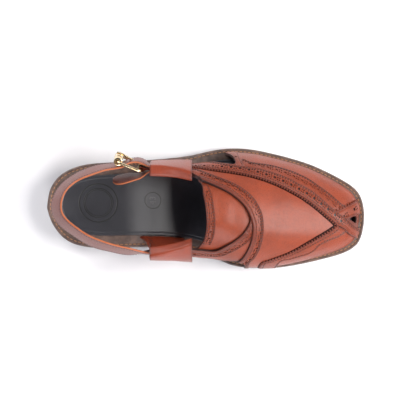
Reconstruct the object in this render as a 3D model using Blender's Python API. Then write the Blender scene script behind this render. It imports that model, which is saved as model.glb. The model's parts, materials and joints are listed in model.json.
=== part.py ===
"""Peshawari chappal, left shoe, as its maker puts it together: a stacked heel, outsole, welted midsole and
insole; an open upper of crossed straps in one wall with its brogued bands raised on it; an instep tongue;
two side sleeves; and a heel strap that goes through a buckle. Metres, +X to the toe, +Y to the little-toe
side, +Z up, origin on the floor under the middle of the shoe."""

import math
from collections import namedtuple

import bmesh
import bpy
import numpy as np
from mathutils import Vector

for old in list(bpy.data.objects):
    bpy.data.objects.remove(old, do_unlink=True)

MM = 0.001

# Driving sizes of the sole
LENGTH = 300 * MM
WIDTH = 114.4 * MM
HEEL_LIFT = 18 * MM
TOE_SPRING = 9 * MM
OUTSOLE = 5 * MM
MIDSOLE = 4 * MM
INSOLE = 2.2 * MM
TOP_PIECE = 6 * MM
FIT = 0.3 * MM

# Driving sizes of the upper and its straps
INSTEP_RISE = 60 * MM
TONGUE_LEATHER = 1.6 * MM
UPPER_LEATHER = 1.7 * MM
RAISED_STEP = 1.0 * MM
STRAP_LEATHER = 1.8 * MM
STRAP_TOP = 72 * MM
SLEEVE_LEATHER = 1.6 * MM
SLEEVE_REAR = -52 * MM
SLEEVE_FRONT = -13 * MM

# Driving sizes of the buckle
BUCKLE_SPAN = 32 * MM
BUCKLE_WIRE = 2.6 * MM
ROLLER = 8 * MM
ROLLER_BORE = 4.2 * MM
PRONG = 2.2 * MM

PlanPoint = namedtuple("PlanPoint", "along across")
HeightRow = namedtuple("HeightRow", "along height")
LastRow = namedtuple(
    "LastRow", "along side_margin inner_margin ridge rise side_swell inner_swell fullness"
)
StrapRow = namedtuple("StrapRow", "top_along top_across top low_along low_across low")

# The sole seen from above: along as a share of LENGTH from the heel, across as a share of WIDTH
SOLE_OUTLINE = [
    PlanPoint(*row)
    for row in (
        (0.000, 0.030), (0.012, 0.170), (0.049, 0.285), (0.119, 0.356), (0.228, 0.379),
        (0.322, 0.398), (0.391, 0.417), (0.448, 0.439), (0.496, 0.470), (0.544, 0.495),
        (0.595, 0.503), (0.646, 0.493), (0.703, 0.464), (0.766, 0.422), (0.830, 0.368),
        (0.893, 0.292), (0.949, 0.208), (0.977, 0.146), (0.992, 0.075), (0.999, -0.010),
        (1.000, -0.090), (0.997, -0.160), (0.991, -0.228), (0.979, -0.295), (0.952, -0.351),
        (0.915, -0.390), (0.861, -0.428), (0.798, -0.465), (0.735, -0.491), (0.677, -0.497),
        (0.623, -0.492), (0.576, -0.468), (0.528, -0.411), (0.480, -0.361), (0.417, -0.331),
        (0.322, -0.325), (0.228, -0.330), (0.150, -0.331), (0.087, -0.301), (0.048, -0.240),
        (0.018, -0.140), (0.002, -0.030),
    )
]

# The underside of the outsole: a share of HEEL_LIFT behind the ball, then a share of TOE_SPRING
HEEL_CURVE = [
    HeightRow(*row)
    for row in ((0.0, 1.0), (0.24, 0.97), (0.33, 0.74), (0.42, 0.38), (0.49, 0.10), (0.55, 0.0), (0.73, 0.0))
]
SPRING_CURVE = [
    HeightRow(*row) for row in ((0.73, 0.0), (0.80, 0.10), (0.88, 0.36), (0.95, 0.69), (1.0, 1.0))
]

# The last: margins, ridge and swells as shares of WIDTH, rise as a share of INSTEP_RISE
LAST = [
    LastRow(*row)
    for row in (
        (0.10, 0.079, 0.079, 0.035, 1.20, -0.020, 0.052, 3.0),
        (0.30, 0.074, 0.074, 0.000, 1.16, -0.020, 0.130, 3.0),
        (0.40, 0.070, 0.070, -0.017, 1.08, -0.024, 0.130, 2.9),
        (0.47, 0.066, 0.066, -0.035, 1.04, -0.040, 0.118, 2.6),
        (0.53, 0.066, 0.061, -0.070, 1.02, -0.026, 0.079, 2.4),
        (0.60, 0.066, 0.052, -0.105, 0.96, -0.004, 0.035, 2.3),
        (0.70, 0.066, 0.048, -0.131, 0.80, 0.0, 0.013, 2.3),
        (0.80, 0.066, 0.052, -0.149, 0.59, 0.0, 0.004, 2.4),
        (0.88, 0.070, 0.061, -0.140, 0.41, 0.0, 0.0, 2.5),
        (0.95, 0.074, 0.074, -0.122, 0.30, 0.0, 0.0, 2.5),
        (1.00, 0.077, 0.077, -0.114, 0.25, 0.0, 0.0, 2.5),
    )
]
TOE_POLE = 0.865
LAST_REAR = 0.29

# Edges of the straps, bands and panels as they lie on the shoe, seen from above
COLLAR_EDGE = (
    (0.380, 0.200), (0.440, 0.215), (0.472, 0.193), (0.481, 0.160), (0.490, 0.091), (0.497, 0.011),
    (0.501, -0.093), (0.501, -0.172), (0.496, -0.250), (0.487, -0.305), (0.470, -0.350), (0.440, -0.372),
    (0.380, -0.380),
)
COLLAR_BAND = (
    (0.481, 0.160), (0.490, 0.091), (0.497, 0.011), (0.501, -0.093), (0.501, -0.172), (0.496, -0.250),
    (0.489, -0.300), (0.514, -0.312), (0.523, -0.255), (0.528, -0.185), (0.528, -0.093), (0.523, 0.011),
    (0.517, 0.092), (0.507, 0.165),
)
TONGUE_FRONT = (
    (0.455, 0.60), (0.500, 0.330), (0.580, 0.235), (0.660, 0.100), (0.690, -0.100), (0.680, -0.300),
    (0.620, -0.400), (0.560, -0.600),
)
MEDIAL_STRAP_EDGE = (
    (0.300, -0.330), (0.420, -0.345), (0.480, -0.355), (0.527, -0.361), (0.558, -0.326), (0.588, -0.282),
    (0.613, -0.227), (0.631, -0.155), (0.637, -0.091),
)
ARCH_INNER = (
    (0.300, 0.228), (0.400, 0.229), (0.457, 0.227), (0.481, 0.211), (0.512, 0.179), (0.542, 0.144), (0.573, 0.100),
    (0.603, 0.040), (0.622, -0.019), (0.634, -0.083), (0.641, -0.147), (0.642, -0.211), (0.637, -0.290),
    (0.626, -0.362), (0.611, -0.425), (0.599, -0.457), (0.575, -0.600),
)
ARCH_OUTER = (
    (0.300, 0.305), (0.400, 0.306), (0.466, 0.304), (0.512, 0.264), (0.542, 0.234), (0.573, 0.202),
    (0.603, 0.162), (0.634, 0.102), (0.655, 0.038), (0.671, -0.050), (0.677, -0.130), (0.677, -0.210),
    (0.673, -0.290), (0.663, -0.369), (0.651, -0.425), (0.636, -0.465), (0.625, -0.600),
)
VAMP_SIDE_EDGE = (
    (0.300, 0.321), (0.400, 0.321), (0.465, 0.320), (0.512, 0.302), (0.573, 0.283), (0.635, 0.255), (0.697, 0.208),
    (0.759, 0.137), (0.821, 0.042), (0.885, -0.091), (0.910, -0.150),
)
VAMP_INNER_EDGE = (
    (0.910, -0.155), (0.885, -0.205), (0.822, -0.299), (0.760, -0.384), (0.698, -0.441), (0.674, -0.470),
    (0.660, -0.600),
)
CROSS_BAND_SIDE = (
    (0.300, 0.420), (0.400, 0.420), (0.465, 0.400), (0.520, 0.370), (0.574, 0.343), (0.620, 0.327), (0.666, 0.312),
    (0.698, 0.289), (0.729, 0.265), (0.760, 0.233), (0.791, 0.189), (0.823, 0.146), (0.854, 0.085),
    (0.885, 0.012), (0.917, -0.053), (0.933, -0.081), (0.949, -0.117), (0.963, -0.145), (0.977, -0.164),
    (1.010, -0.185),
)
CROSS_BAND_TOE = ((1.010, -0.285), (0.977, -0.256), (0.960, -0.238), (0.947, -0.219), (0.933, -0.179))
SIDE_BAND_EDGE = (
    (0.612, 0.310), (0.612, 0.400), (0.636, 0.373), (0.667, 0.362), (0.699, 0.351), (0.730, 0.333), (0.762, 0.308),
    (0.793, 0.276), (0.824, 0.235), (0.855, 0.177), (0.887, 0.118), (0.918, 0.047), (0.937, 0.010),
    (0.955, -0.030), (0.950, -0.060),
)
INNER_BAND_EDGE = (
    (0.945, -0.195), (0.917, -0.244), (0.886, -0.277), (0.854, -0.318), (0.839, -0.359), (0.817, -0.391),
    (0.793, -0.408), (0.762, -0.432), (0.730, -0.457), (0.700, -0.600),
)
TOE_PIECE = (
    (0.900, -0.040), (0.922, -0.016), (0.938, 0.006), (0.955, 0.028), (0.974, 0.051), (1.010, 0.080),
    (1.010, -0.040), (0.977, -0.056), (0.959, -0.071), (0.946, -0.088), (0.925, -0.110),
)
WINDOW_BAND = (
    (0.500, 0.600), (0.500, 0.345), (0.575, 0.310), (0.618, 0.310), (0.614, 0.347), (0.605, 0.401), (0.588, 0.600),
)
TOE_OPENING = ((0.950, -0.092), (0.978, -0.068), (0.980, -0.098), (0.977, -0.133))

# Edges of the side openings, seen from the side: height as a share of STRAP_TOP
SIDE_WINDOW = (
    (0.250, -0.20), (0.250, 0.53), (0.360, 0.53), (0.457, 0.555), (0.530, 0.630), (0.575, 0.680), (0.590, 0.670),
    (0.588, 0.56), (0.576, 0.40), (0.562, 0.24), (0.553, -0.20),
)
INNER_WINDOW = (
    (0.250, -0.20), (0.250, 0.51), (0.360, 0.51), (0.467, 0.520), (0.540, 0.530), (0.580, 0.580), (0.608, 0.590),
    (0.620, 0.52), (0.624, 0.40), (0.620, 0.24), (0.616, -0.20),
)
INNER_STRAP_TOP = ((0.250, 0.835), (0.380, 0.835), (0.470, 0.820), (0.515, 0.850), (0.515, 1.40), (0.250, 1.40))
SIDE_STRAP_TOP = (
    (0.250, 0.870), (0.360, 0.870), (0.430, 0.880), (0.465, 0.925), (0.490, 1.000), (0.500, 1.40), (0.250, 1.40),
)

# The heel strap from the side sleeve round to the inner sleeve: heights as shares of STRAP_TOP
HEEL_STRAP = [
    StrapRow(*row)
    for row in (
        (0.307, 0.335, 0.84, 0.307, 0.385, 0.54),
        (0.288, 0.350, 0.86, 0.288, 0.400, 0.56),
        (0.266, 0.344, 0.88, 0.264, 0.392, 0.57),
        (0.245, 0.312, 0.90, 0.241, 0.368, 0.585),
        (0.225, 0.299, 0.92, 0.220, 0.358, 0.595),
        (0.190, 0.282, 0.94, 0.184, 0.348, 0.60),
        (0.150, 0.246, 0.96, 0.142, 0.324, 0.61),
        (0.108, 0.200, 0.97, 0.094, 0.268, 0.62),
        (0.076, 0.130, 0.98, 0.050, 0.180, 0.64),
        (0.061, 0.045, 1.00, 0.024, 0.062, 0.66),
        (0.060, -0.040, 1.00, 0.022, -0.045, 0.66),
        (0.074, -0.105, 0.98, 0.042, -0.140, 0.64),
        (0.104, -0.172, 0.97, 0.082, -0.222, 0.62),
        (0.146, -0.243, 0.96, 0.139, -0.315, 0.60),
        (0.207, -0.303, 0.94, 0.201, -0.360, 0.58),
        (0.268, -0.342, 0.90, 0.264, -0.386, 0.55),
    )
]

# The guard tab under the buckle, from the side sleeve rearwards to its rounded end
GUARD_TAB = [
    StrapRow(*row)
    for row in (
        (0.300, 0.226, 0.86, 0.300, 0.284, 0.60),
        (0.280, 0.206, 0.87, 0.280, 0.276, 0.60),
        (0.262, 0.190, 0.87, 0.258, 0.276, 0.60),
        (0.240, 0.176, 0.85, 0.236, 0.262, 0.61),
        (0.222, 0.178, 0.81, 0.220, 0.248, 0.64),
        (0.212, 0.195, 0.76, 0.211, 0.228, 0.69),
    )
]


def steady(rows, column, at):
    """Value of one column of a table at a place along the shoe, on a curve that never overshoots its rows."""
    along = np.array([row.along for row in rows])
    value = np.array([getattr(row, column) for row in rows])
    step = np.diff(along)
    slope = np.diff(value) / step
    bend = np.zeros(len(rows))
    same_way = slope[:-1] * slope[1:] > 0
    bend[1:-1][same_way] = 2 * (slope[:-1] * slope[1:])[same_way] / (slope[:-1] + slope[1:])[same_way]
    bend[0] = slope[0]
    bend[-1] = slope[-1]
    at = float(np.clip(at, along[0], along[-1]))
    i = int(np.clip(np.searchsorted(along, at) - 1, 0, len(step) - 1))
    t = (at - along[i]) / step[i]
    rise = (3 - 2 * t) * t * t
    lead = ((t - 2) * t + 1) * t * step[i] * bend[i]
    trail = (t - 1) * t * t * step[i] * bend[i + 1]
    return value[i] + (value[i + 1] - value[i]) * rise + lead + trail


def smooth_line(points, steps, closed=False):
    """Points on a smooth curve through the given ones, with so many steps from each to the next."""
    given = np.array(points, float)
    count = len(given)
    spans = count if closed else count - 1
    found = []
    for i in range(spans):
        before = given[i - 1] if closed or i else 2 * given[0] - given[1]
        start = given[i]
        end = given[(i + 1) % count]
        after = given[(i + 2) % count] if closed or i + 2 < count else 2 * given[-1] - given[-2]
        for k in range(steps):
            t = k / steps
            found.append(
                0.5
                * (
                    2 * start
                    + (end - before) * t
                    + (2 * before - 5 * start + 4 * end - after) * t**2
                    + (3 * start - before - 3 * end + after) * t**3
                )
            )
    if not closed:
        found.append(given[-1])
    return np.array(found)


def along_of(x):
    return x / LENGTH + 0.5


def plan(points):
    """Shares of the sole's length and width as places in the shoe's own frame."""
    shares = np.array(points, float)
    return np.column_stack([(shares[:, 0] - 0.5) * LENGTH, shares[:, 1] * WIDTH])


def outline(steps=2):
    return smooth_line(plan(SOLE_OUTLINE), steps, closed=True)


def inset(loop, margin):
    """A closed outline moved inwards by a margin, which is one length or one for each point."""
    way = np.roll(loop, -1, axis=0) - np.roll(loop, 1, axis=0)
    inward = np.column_stack([way[:, 1], -way[:, 0]])
    inward /= np.linalg.norm(inward, axis=1)[:, None]
    return loop + inward * np.broadcast_to(margin, len(loop))[:, None]


def underside(x):
    """Height of the outsole's underside above the floor."""
    along = along_of(x)
    return HEEL_LIFT * steady(HEEL_CURVE, "height", along) + TOE_SPRING * steady(SPRING_CURVE, "height", along)


def seat(x):
    """Height of the midsole's top, on which the upper and the insole stand."""
    return underside(x) + OUTSOLE + FIT + MIDSOLE


def last_margins(loop):
    along = along_of(loop[:, 0])
    side = np.array([steady(LAST, "side_margin", at) for at in along])
    inner = np.array([steady(LAST, "inner_margin", at) for at in along])
    return np.where(loop[:, 1] > 0, side, inner) * WIDTH


SOLE_LOOP = outline()
FEATHER_LOOP = inset(outline(6), last_margins(outline(6)))


def feather_from(origin, way):
    """Where a level ray from a point of the ridge meets the feather line."""
    start = FEATHER_LOOP - origin
    end = np.roll(FEATHER_LOOP, -1, axis=0) - origin
    normal = np.array([-way[1], way[0]])
    a = start @ normal
    b = end @ normal
    crossed = (a <= 0) != (b <= 0)
    share = a[crossed] / (a[crossed] - b[crossed])
    found = start[crossed] + (end[crossed] - start[crossed]) * share[:, None]
    return origin + np.array(way) * (found @ np.array(way)).max()


def ridge_at(x):
    return np.array([x, steady(LAST, "ridge", along_of(x)) * WIDTH])


def on_last(origin, feather, lean):
    """A point of the last on one ray, lean going from 0 at the feather line to a right angle on the ridge."""
    fullness = steady(LAST, "fullness", along_of(origin[0]))
    place = origin + (feather - origin) * math.cos(lean) ** (2 / fullness)
    along = along_of(place[0])
    side = "side_swell" if feather[1] > origin[1] else "inner_swell"
    swell = 3.08 * math.sin(lean) * math.cos(lean) ** 3 * abs((feather - origin)[1]) / np.linalg.norm(feather - origin)
    across = place[1] + math.copysign(swell, feather[1] - origin[1]) * steady(LAST, side, along) * WIDTH
    return Vector((place[0], across, seat(place[0]) + FIT + steady(LAST, "rise", along) * INSTEP_RISE * math.sin(lean)))


def last_rays(spacing, fan):
    """Ridge and feather points of every ray: along the side, round the toe, and back along the inner side."""
    pole = ridge_at((TOE_POLE - 0.5) * LENGTH)
    rear = (LAST_REAR - 0.5) * LENGTH
    stations = np.linspace(rear, pole[0], round((pole[0] - rear) / spacing), endpoint=False)
    rays = [(ridge_at(x), feather_from(ridge_at(x), (0, 1))) for x in stations]
    for k in range(fan + 1):
        turn = math.pi / 2 - math.pi * k / fan
        rays.append((pole, feather_from(pole, (math.cos(turn), math.sin(turn)))))
    rays += [(ridge_at(x), feather_from(ridge_at(x), (0, -1))) for x in stations[::-1]]
    return rays


def last_surface(spacing=7 * MM, fan=13, rows=12):
    """The last's surface as an open mesh, with its normals outwards."""
    mesh = bmesh.new()
    grid = []
    for origin, feather in last_rays(spacing, fan):
        grid.append([mesh.verts.new(on_last(origin, feather, math.pi / 2 * k / rows)) for k in range(rows + 1)])
    for here, there in zip(grid, grid[1:]):
        for k in range(rows):
            corners = []
            for vert in (here[k], here[k + 1], there[k + 1], there[k]):
                if vert not in corners:
                    corners.append(vert)
            mesh.faces.new(corners)
    bmesh.ops.remove_doubles(mesh, verts=mesh.verts, dist=0.001 * MM)
    bmesh.ops.recalc_face_normals(mesh, faces=mesh.faces)
    highest = max(mesh.faces, key=lambda face: face.calc_center_median().z)
    if highest.normal.z < 0:
        bmesh.ops.reverse_faces(mesh, faces=mesh.faces)
    mesh.normal_update()
    return mesh


LAST_MESH = last_surface()
LAST_MESH.verts.index_update()
LAST_NORMALS = []
for vert in LAST_MESH.verts:
    normal = vert.normal.copy()
    if vert.co.z < seat(vert.co.x) + FIT + 0.01 * MM:
        normal.z = 0
    LAST_NORMALS.append(normal.normalized())

parts = bpy.data.collections.new("peshawari_chappal")
bpy.context.scene.collection.children.link(parts)
cutters = bpy.data.collections.new("cutters")
bpy.context.scene.collection.children.link(cutters)


def add_object(name, mesh, collection=None):
    """A closed bmesh with its faces outwards, made an object of the parts or, for a helper, of the cutters."""
    if mesh.calc_volume(signed=True) < 0:
        bmesh.ops.reverse_faces(mesh, faces=mesh.faces)
    data = bpy.data.meshes.new(name)
    mesh.to_mesh(data)
    mesh.free()
    made = bpy.data.objects.new(name, data)
    (collection or cutters).objects.link(made)
    if collection is None:
        made.hide_render = True
        made.display_type = "WIRE"
    return made


def combine(target, helper, operation):
    """One Boolean, applied, with the helper then removed. The layers of leather lie so nearly parallel that the
    exact solver leaves their seams open, so the manifold one joins them."""
    step = target.modifiers.new(helper.name, "BOOLEAN")
    step.operation = operation
    step.object = helper
    step.solver = "MANIFOLD"
    bpy.context.view_layer.objects.active = target
    bpy.ops.object.modifier_apply(modifier=step.name)
    bpy.data.objects.remove(helper, do_unlink=True)
    return target


def skin(name, low, high, lift=0.0):
    """The space between two offsets of the last, as a closed solid, its rim lifted off the feather line."""
    mesh = bmesh.new()
    sides = []
    for offset in (low, high):
        side = []
        for vert, normal in zip(LAST_MESH.verts, LAST_NORMALS):
            place = vert.co + normal * offset
            if normal.z == 0:
                place.z = seat(place.x) + FIT + lift
            side.append(mesh.verts.new(place))
        sides.append(side)
    for face in LAST_MESH.faces:
        ring = [v.index for v in face.verts]
        mesh.faces.new([sides[1][i] for i in ring])
        mesh.faces.new([sides[0][i] for i in reversed(ring)])
    for edge in LAST_MESH.edges:
        if edge.is_boundary:
            corner = edge.link_loops[0]
            a, b = corner.vert.index, corner.link_loop_next.vert.index
            mesh.faces.new([sides[1][b], sides[1][a], sides[0][a], sides[0][b]])
    return add_object(name, mesh)


def prism(name, loop, low, high, across=False):
    """A straight prism on a closed outline: upright on plan points or, across the shoe, on side-view points."""
    mesh = bmesh.new()
    ends = []
    for level in (low, high):
        corners = [(a, level, b) if across else (a, b, level) for a, b in loop]
        ends.append([mesh.verts.new(corner) for corner in corners])
    mesh.faces.new(ends[0][::-1])
    mesh.faces.new(ends[1])
    for i in range(len(loop)):
        j = (i + 1) % len(loop)
        mesh.faces.new([ends[0][i], ends[0][j], ends[1][j], ends[1][i]])
    return add_object(name, mesh)


BELOW = -20 * MM
ABOVE = 140 * MM
BEYOND = 90 * MM


def plan_prism(name, *edges):
    """An upright prism inside a loop of edges, each smoothed by itself so that its corners stay sharp."""
    return prism(name, np.vstack([smooth_line(plan(edge), 2) for edge in edges]), BELOW, ABOVE)


def side_prism(name, points, inner):
    """A prism across the shoe, over its inner side or its outer side."""
    shares = smooth_line(points, 2)
    loop = np.column_stack([(shares[:, 0] - 0.5) * LENGTH, shares[:, 1] * STRAP_TOP])
    low, high = (-BEYOND, -15 * MM) if inner else (8 * MM, BEYOND)
    return prism(name, loop, low, high, across=True)


def finish(made, colour, roughness, metallic=0.0, angle=35):
    """Puts a finished solid among the parts, with its own material, shaded smooth but for its edges."""
    for holder in list(made.users_collection):
        holder.objects.unlink(made)
    parts.objects.link(made)
    made.hide_render = False
    made.display_type = "TEXTURED"
    material = bpy.data.materials.new(made.name)
    material.use_nodes = True
    shader = material.node_tree.nodes["Principled BSDF"]
    shader.inputs["Base Color"].default_value = (*colour, 1)
    shader.inputs["Roughness"].default_value = roughness
    shader.inputs["Metallic"].default_value = metallic
    made.data.materials.clear()
    made.data.materials.append(material)
    made.data.shade_smooth()
    made.data.set_sharp_from_angle(angle=math.radians(angle))
    return made


TAN = (0.40, 0.11, 0.055)
DEEP_TAN = (0.30, 0.075, 0.04)
BLACK = (0.012, 0.011, 0.012)
SOLE_BROWN = (0.10, 0.065, 0.05)
BRASS = (0.78, 0.60, 0.32)


# Sole unit
def sole_layer(name, loop, low, high):
    """A layer of the sole between two heights above its underside, bent to the heel curve and toe spring."""
    mesh = bmesh.new()
    stations = np.linspace(-LENGTH / 2 - 5 * MM, LENGTH / 2 + 5 * MM, 28)
    rings = []
    for x in stations:
        ring = []
        for y, height in ((-BEYOND, low), (BEYOND, low), (BEYOND, high), (-BEYOND, high)):
            ring.append(mesh.verts.new((x, y, underside(x) + height)))
        rings.append(ring)
    for here, there in zip(rings, rings[1:]):
        for k in range(4):
            mesh.faces.new([here[k], here[(k + 1) % 4], there[(k + 1) % 4], there[k]])
    mesh.faces.new(rings[0][::-1])
    mesh.faces.new(rings[-1])
    layer = add_object(name, mesh)
    return combine(layer, prism(name + "_outline", loop, BELOW, ABOVE), "INTERSECT")


outsole = sole_layer("outsole", inset(SOLE_LOOP, 1.0 * MM), 0.0, OUTSOLE)
midsole = sole_layer("midsole", SOLE_LOOP, OUTSOLE + FIT, OUTSOLE + FIT + MIDSOLE)
finish(outsole, SOLE_BROWN, 0.6)
finish(midsole, SOLE_BROWN, 0.5)

# The insole stops short of the upper and of the sleeves' inner leaves
INSOLE_CLEAR = SLEEVE_LEATHER + 4 * FIT
insole_loop = inset(outline(2), last_margins(outline(2)) + INSOLE_CLEAR)
insole_low = OUTSOLE + MIDSOLE + 2 * FIT
insole = sole_layer("insole", insole_loop, insole_low, insole_low + INSOLE)
finish(insole, BLACK, 0.35)

HEEL_BREAST = -78 * MM
BREAST_HOLLOW = 5 * MM


def heel_solid(name, bottom_inset, top_inset, low, high):
    """A slab of the heel between two heights, with its breast hollowed."""
    mesh = bmesh.new()
    rings = []
    for margin, level in ((bottom_inset, low), (top_inset, high)):
        loop = inset(SOLE_LOOP, margin)
        rings.append([mesh.verts.new((x, y, level)) for x, y in loop])
    count = len(rings[0])
    mesh.faces.new(rings[0][::-1])
    mesh.faces.new(rings[1])
    for i in range(count):
        j = (i + 1) % count
        mesh.faces.new([rings[0][i], rings[0][j], rings[1][j], rings[1][i]])
    slab = add_object(name, mesh)
    turns = np.linspace(-1, 1, 13)
    breast = [(HEEL_BREAST - BREAST_HOLLOW * (1 - t * t), t * WIDTH / 2) for t in turns]
    loop = np.array([*breast, (LENGTH, WIDTH / 2), (LENGTH, -WIDTH / 2)])
    return combine(slab, prism(name + "_breast", loop, BELOW, ABOVE), "DIFFERENCE")


heel_block = heel_solid("heel_block", 2.6 * MM, 1.2 * MM, TOP_PIECE + FIT, HEEL_LIFT * 0.97 - FIT)
heel_top_piece = heel_solid("heel_top_piece", 3.0 * MM, 2.6 * MM, 0.0, TOP_PIECE)
finish(heel_block, SOLE_BROWN, 0.5)
finish(heel_top_piece, BLACK, 0.7)

# The upper's layers, as offsets from the last: tongue, then the wall, then the raised pieces on it
WALL_LOW = TONGUE_LEATHER + FIT
WALL_HIGH = WALL_LOW + UPPER_LEATHER
VAMP_HIGH = WALL_HIGH + RAISED_STEP
TOE_PIECE_HIGH = VAMP_HIGH + RAISED_STEP * 0.6
BAND_HIGH = VAMP_HIGH + RAISED_STEP
STRAP_STOP = SLEEVE_REAR + 18.5 * MM
HEEL_STRAP_STOP = STRAP_STOP - 1.5 * MM
TUCK = 0.5 * MM
UNDERLAP = 0.025
BEHIND_ARCH = (
    (0.260, 0.180), (0.440, 0.180), (0.560, 0.020), (0.600, -0.150), (0.580, -0.400), (0.560, -0.600),
)


def moved(edge, across):
    """An edge moved across the shoe, by a share of its width."""
    return tuple((along, place + across) for along, place in edge)


side_window = side_prism("side_window", SIDE_WINDOW, inner=False)
inner_window = side_prism("inner_window", INNER_WINDOW, inner=True)
inner_strap_top = side_prism("inner_strap_top", INNER_STRAP_TOP, inner=True)
side_strap_top = side_prism("side_strap_top", SIDE_STRAP_TOP, inner=False)
strap_stop = prism(
    "strap_stop",
    [(-LENGTH, -BEYOND), (STRAP_STOP, -BEYOND), (STRAP_STOP, BEYOND), (-LENGTH, BEYOND)],
    BELOW,
    ABOVE,
)

upper = skin("upper", WALL_LOW, WALL_HIGH)
raised_pieces = (
    ("vamp", VAMP_HIGH, (BEHIND_ARCH, moved(VAMP_INNER_EDGE, -UNDERLAP)[::-1], moved(VAMP_SIDE_EDGE, UNDERLAP)[::-1])),
    ("arch", BAND_HIGH, (BEHIND_ARCH, ARCH_OUTER[::-1])),
    ("side_band", VAMP_HIGH - 0.1 * RAISED_STEP, (SIDE_BAND_EDGE, moved(VAMP_SIDE_EDGE[5:-1], 2.2 * UNDERLAP)[::-1])),
    ("window_band", VAMP_HIGH - 0.2 * RAISED_STEP, (WINDOW_BAND,)),
    ("toe_piece", TOE_PIECE_HIGH, (TOE_PIECE,)),
    ("inner_band", BAND_HIGH + 0.1 * RAISED_STEP, (VAMP_INNER_EDGE, INNER_BAND_EDGE[::-1])),
    ("cross_band", BAND_HIGH + 0.4 * RAISED_STEP, (VAMP_SIDE_EDGE, CROSS_BAND_TOE[::-1], CROSS_BAND_SIDE[::-1])),
)
for rank, (name, high, edges) in enumerate(raised_pieces, start=1):
    piece = skin(name, WALL_HIGH - TUCK - 0.1 * MM * rank, high, lift=0.3 * MM * rank)
    combine(piece, plan_prism(name + "_area", *edges), "INTERSECT")
    combine(upper, piece, "UNION")
combine(upper, plan_prism("foot_opening", ARCH_INNER, ((0.200, -0.700), (0.200, 0.228))), "DIFFERENCE")

# The inner strap comes from under the arch and runs back along the inner side
inner_strap = skin("inner_strap", WALL_LOW + 0.1 * MM, WALL_HIGH - 0.1 * MM, lift=0.2 * MM)
combine(
    inner_strap,
    plan_prism("inner_strap_area", MEDIAL_STRAP_EDGE, ((0.680, -0.100), (0.680, -0.600), (0.250, -0.600))),
    "INTERSECT",
)
combine(upper, inner_strap, "UNION")
for cutter in (side_window, inner_window, inner_strap_top, side_strap_top, strap_stop):
    combine(upper, cutter, "DIFFERENCE")
combine(upper, plan_prism("toe_opening", TOE_OPENING), "DIFFERENCE")
finish(upper, TAN, 0.35)

# Tongue: an instep saddle under the straps, with a raised collar band
TONGUE_FOOT = 0.53
TONGUE_SIDES = (
    (0.250, TONGUE_FOOT), (0.250, 0.870), (0.458, 0.870), (0.474, 0.925), (0.490, 1.000), (0.500, 1.400),
    (0.800, 1.400), (0.800, TONGUE_FOOT),
)
tongue = skin("tongue", 0.0, TONGUE_LEATHER)
collar_band = skin("collar_band", TONGUE_LEATHER - TUCK, TONGUE_LEATHER + RAISED_STEP)
combine(collar_band, plan_prism("collar_area", COLLAR_BAND), "INTERSECT")
combine(tongue, plan_prism("tongue_area", COLLAR_EDGE[::-1], TONGUE_FRONT), "INTERSECT")
combine(tongue, collar_band, "UNION")
tongue_sides = [((along - 0.5) * LENGTH, height * STRAP_TOP) for along, height in TONGUE_SIDES]
combine(tongue, prism("tongue_sides", tongue_sides, -BEYOND, BEYOND, across=True), "INTERSECT")
finish(tongue, DEEP_TAN, 0.4)

# Side sleeves: a leather loop round the straps on each side, its foot standing on the midsole
SleevePlace = namedtuple("SleevePlace", "low top slant")
SIDE_SLEEVE = SleevePlace(0.51, 0.905, 8 * MM)
INNER_SLEEVE = SleevePlace(0.48, 0.865, 10 * MM)
TUNNEL_LOW = -2 * FIT
TUNNEL_HIGH = BAND_HIGH + 0.4 * RAISED_STEP + 3 * FIT


def beside_last(x, inner, height, offset):
    """A place beside the last, at a height above the floor and an offset out from its side."""
    origin = ridge_at(x)
    feather = feather_from(origin, (0, -1 if inner else 1))
    rise = steady(LAST, "rise", along_of(x)) * INSTEP_RISE

    def at(level):
        lean = math.asin(min(max((level - seat(x) - FIT) / rise, 0), 1))
        return on_last(origin, feather, lean)

    here = at(height)
    up = at(height + MM) - here
    outward = Vector((0, up.z, -up.y)).normalized()
    if (outward.y < 0) != inner:
        outward.negate()
    return here + outward * offset


def loft(name, rings):
    """A closed solid through rings of equally many points."""
    mesh = bmesh.new()
    rows = [[mesh.verts.new(point) for point in ring] for ring in rings]
    count = len(rows[0])
    for here, there in zip(rows, rows[1:]):
        for k in range(count):
            mesh.faces.new([here[k], here[(k + 1) % count], there[(k + 1) % count], there[k]])
    mesh.faces.new(rows[0][::-1])
    mesh.faces.new(rows[-1])
    return add_object(name, mesh)


def sleeve_ring(x, inner, place, section):
    """One section of a sleeve: rows of a height between its foot and its top, and an offset."""
    foot = seat(x) + FIT
    ring = []
    for height, offset in section:
        slid = x - place.slant * max(0, 1 - (height - foot) / (place.low * STRAP_TOP - foot)) ** 1.5
        spot = beside_last(slid, inner, max(height, seat(slid) + FIT), offset)
        spot.z = max(spot.z, seat(slid) + FIT + 0.1 * MM)
        ring.append(spot)
    return ring


FACE_STEPS = 5


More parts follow.
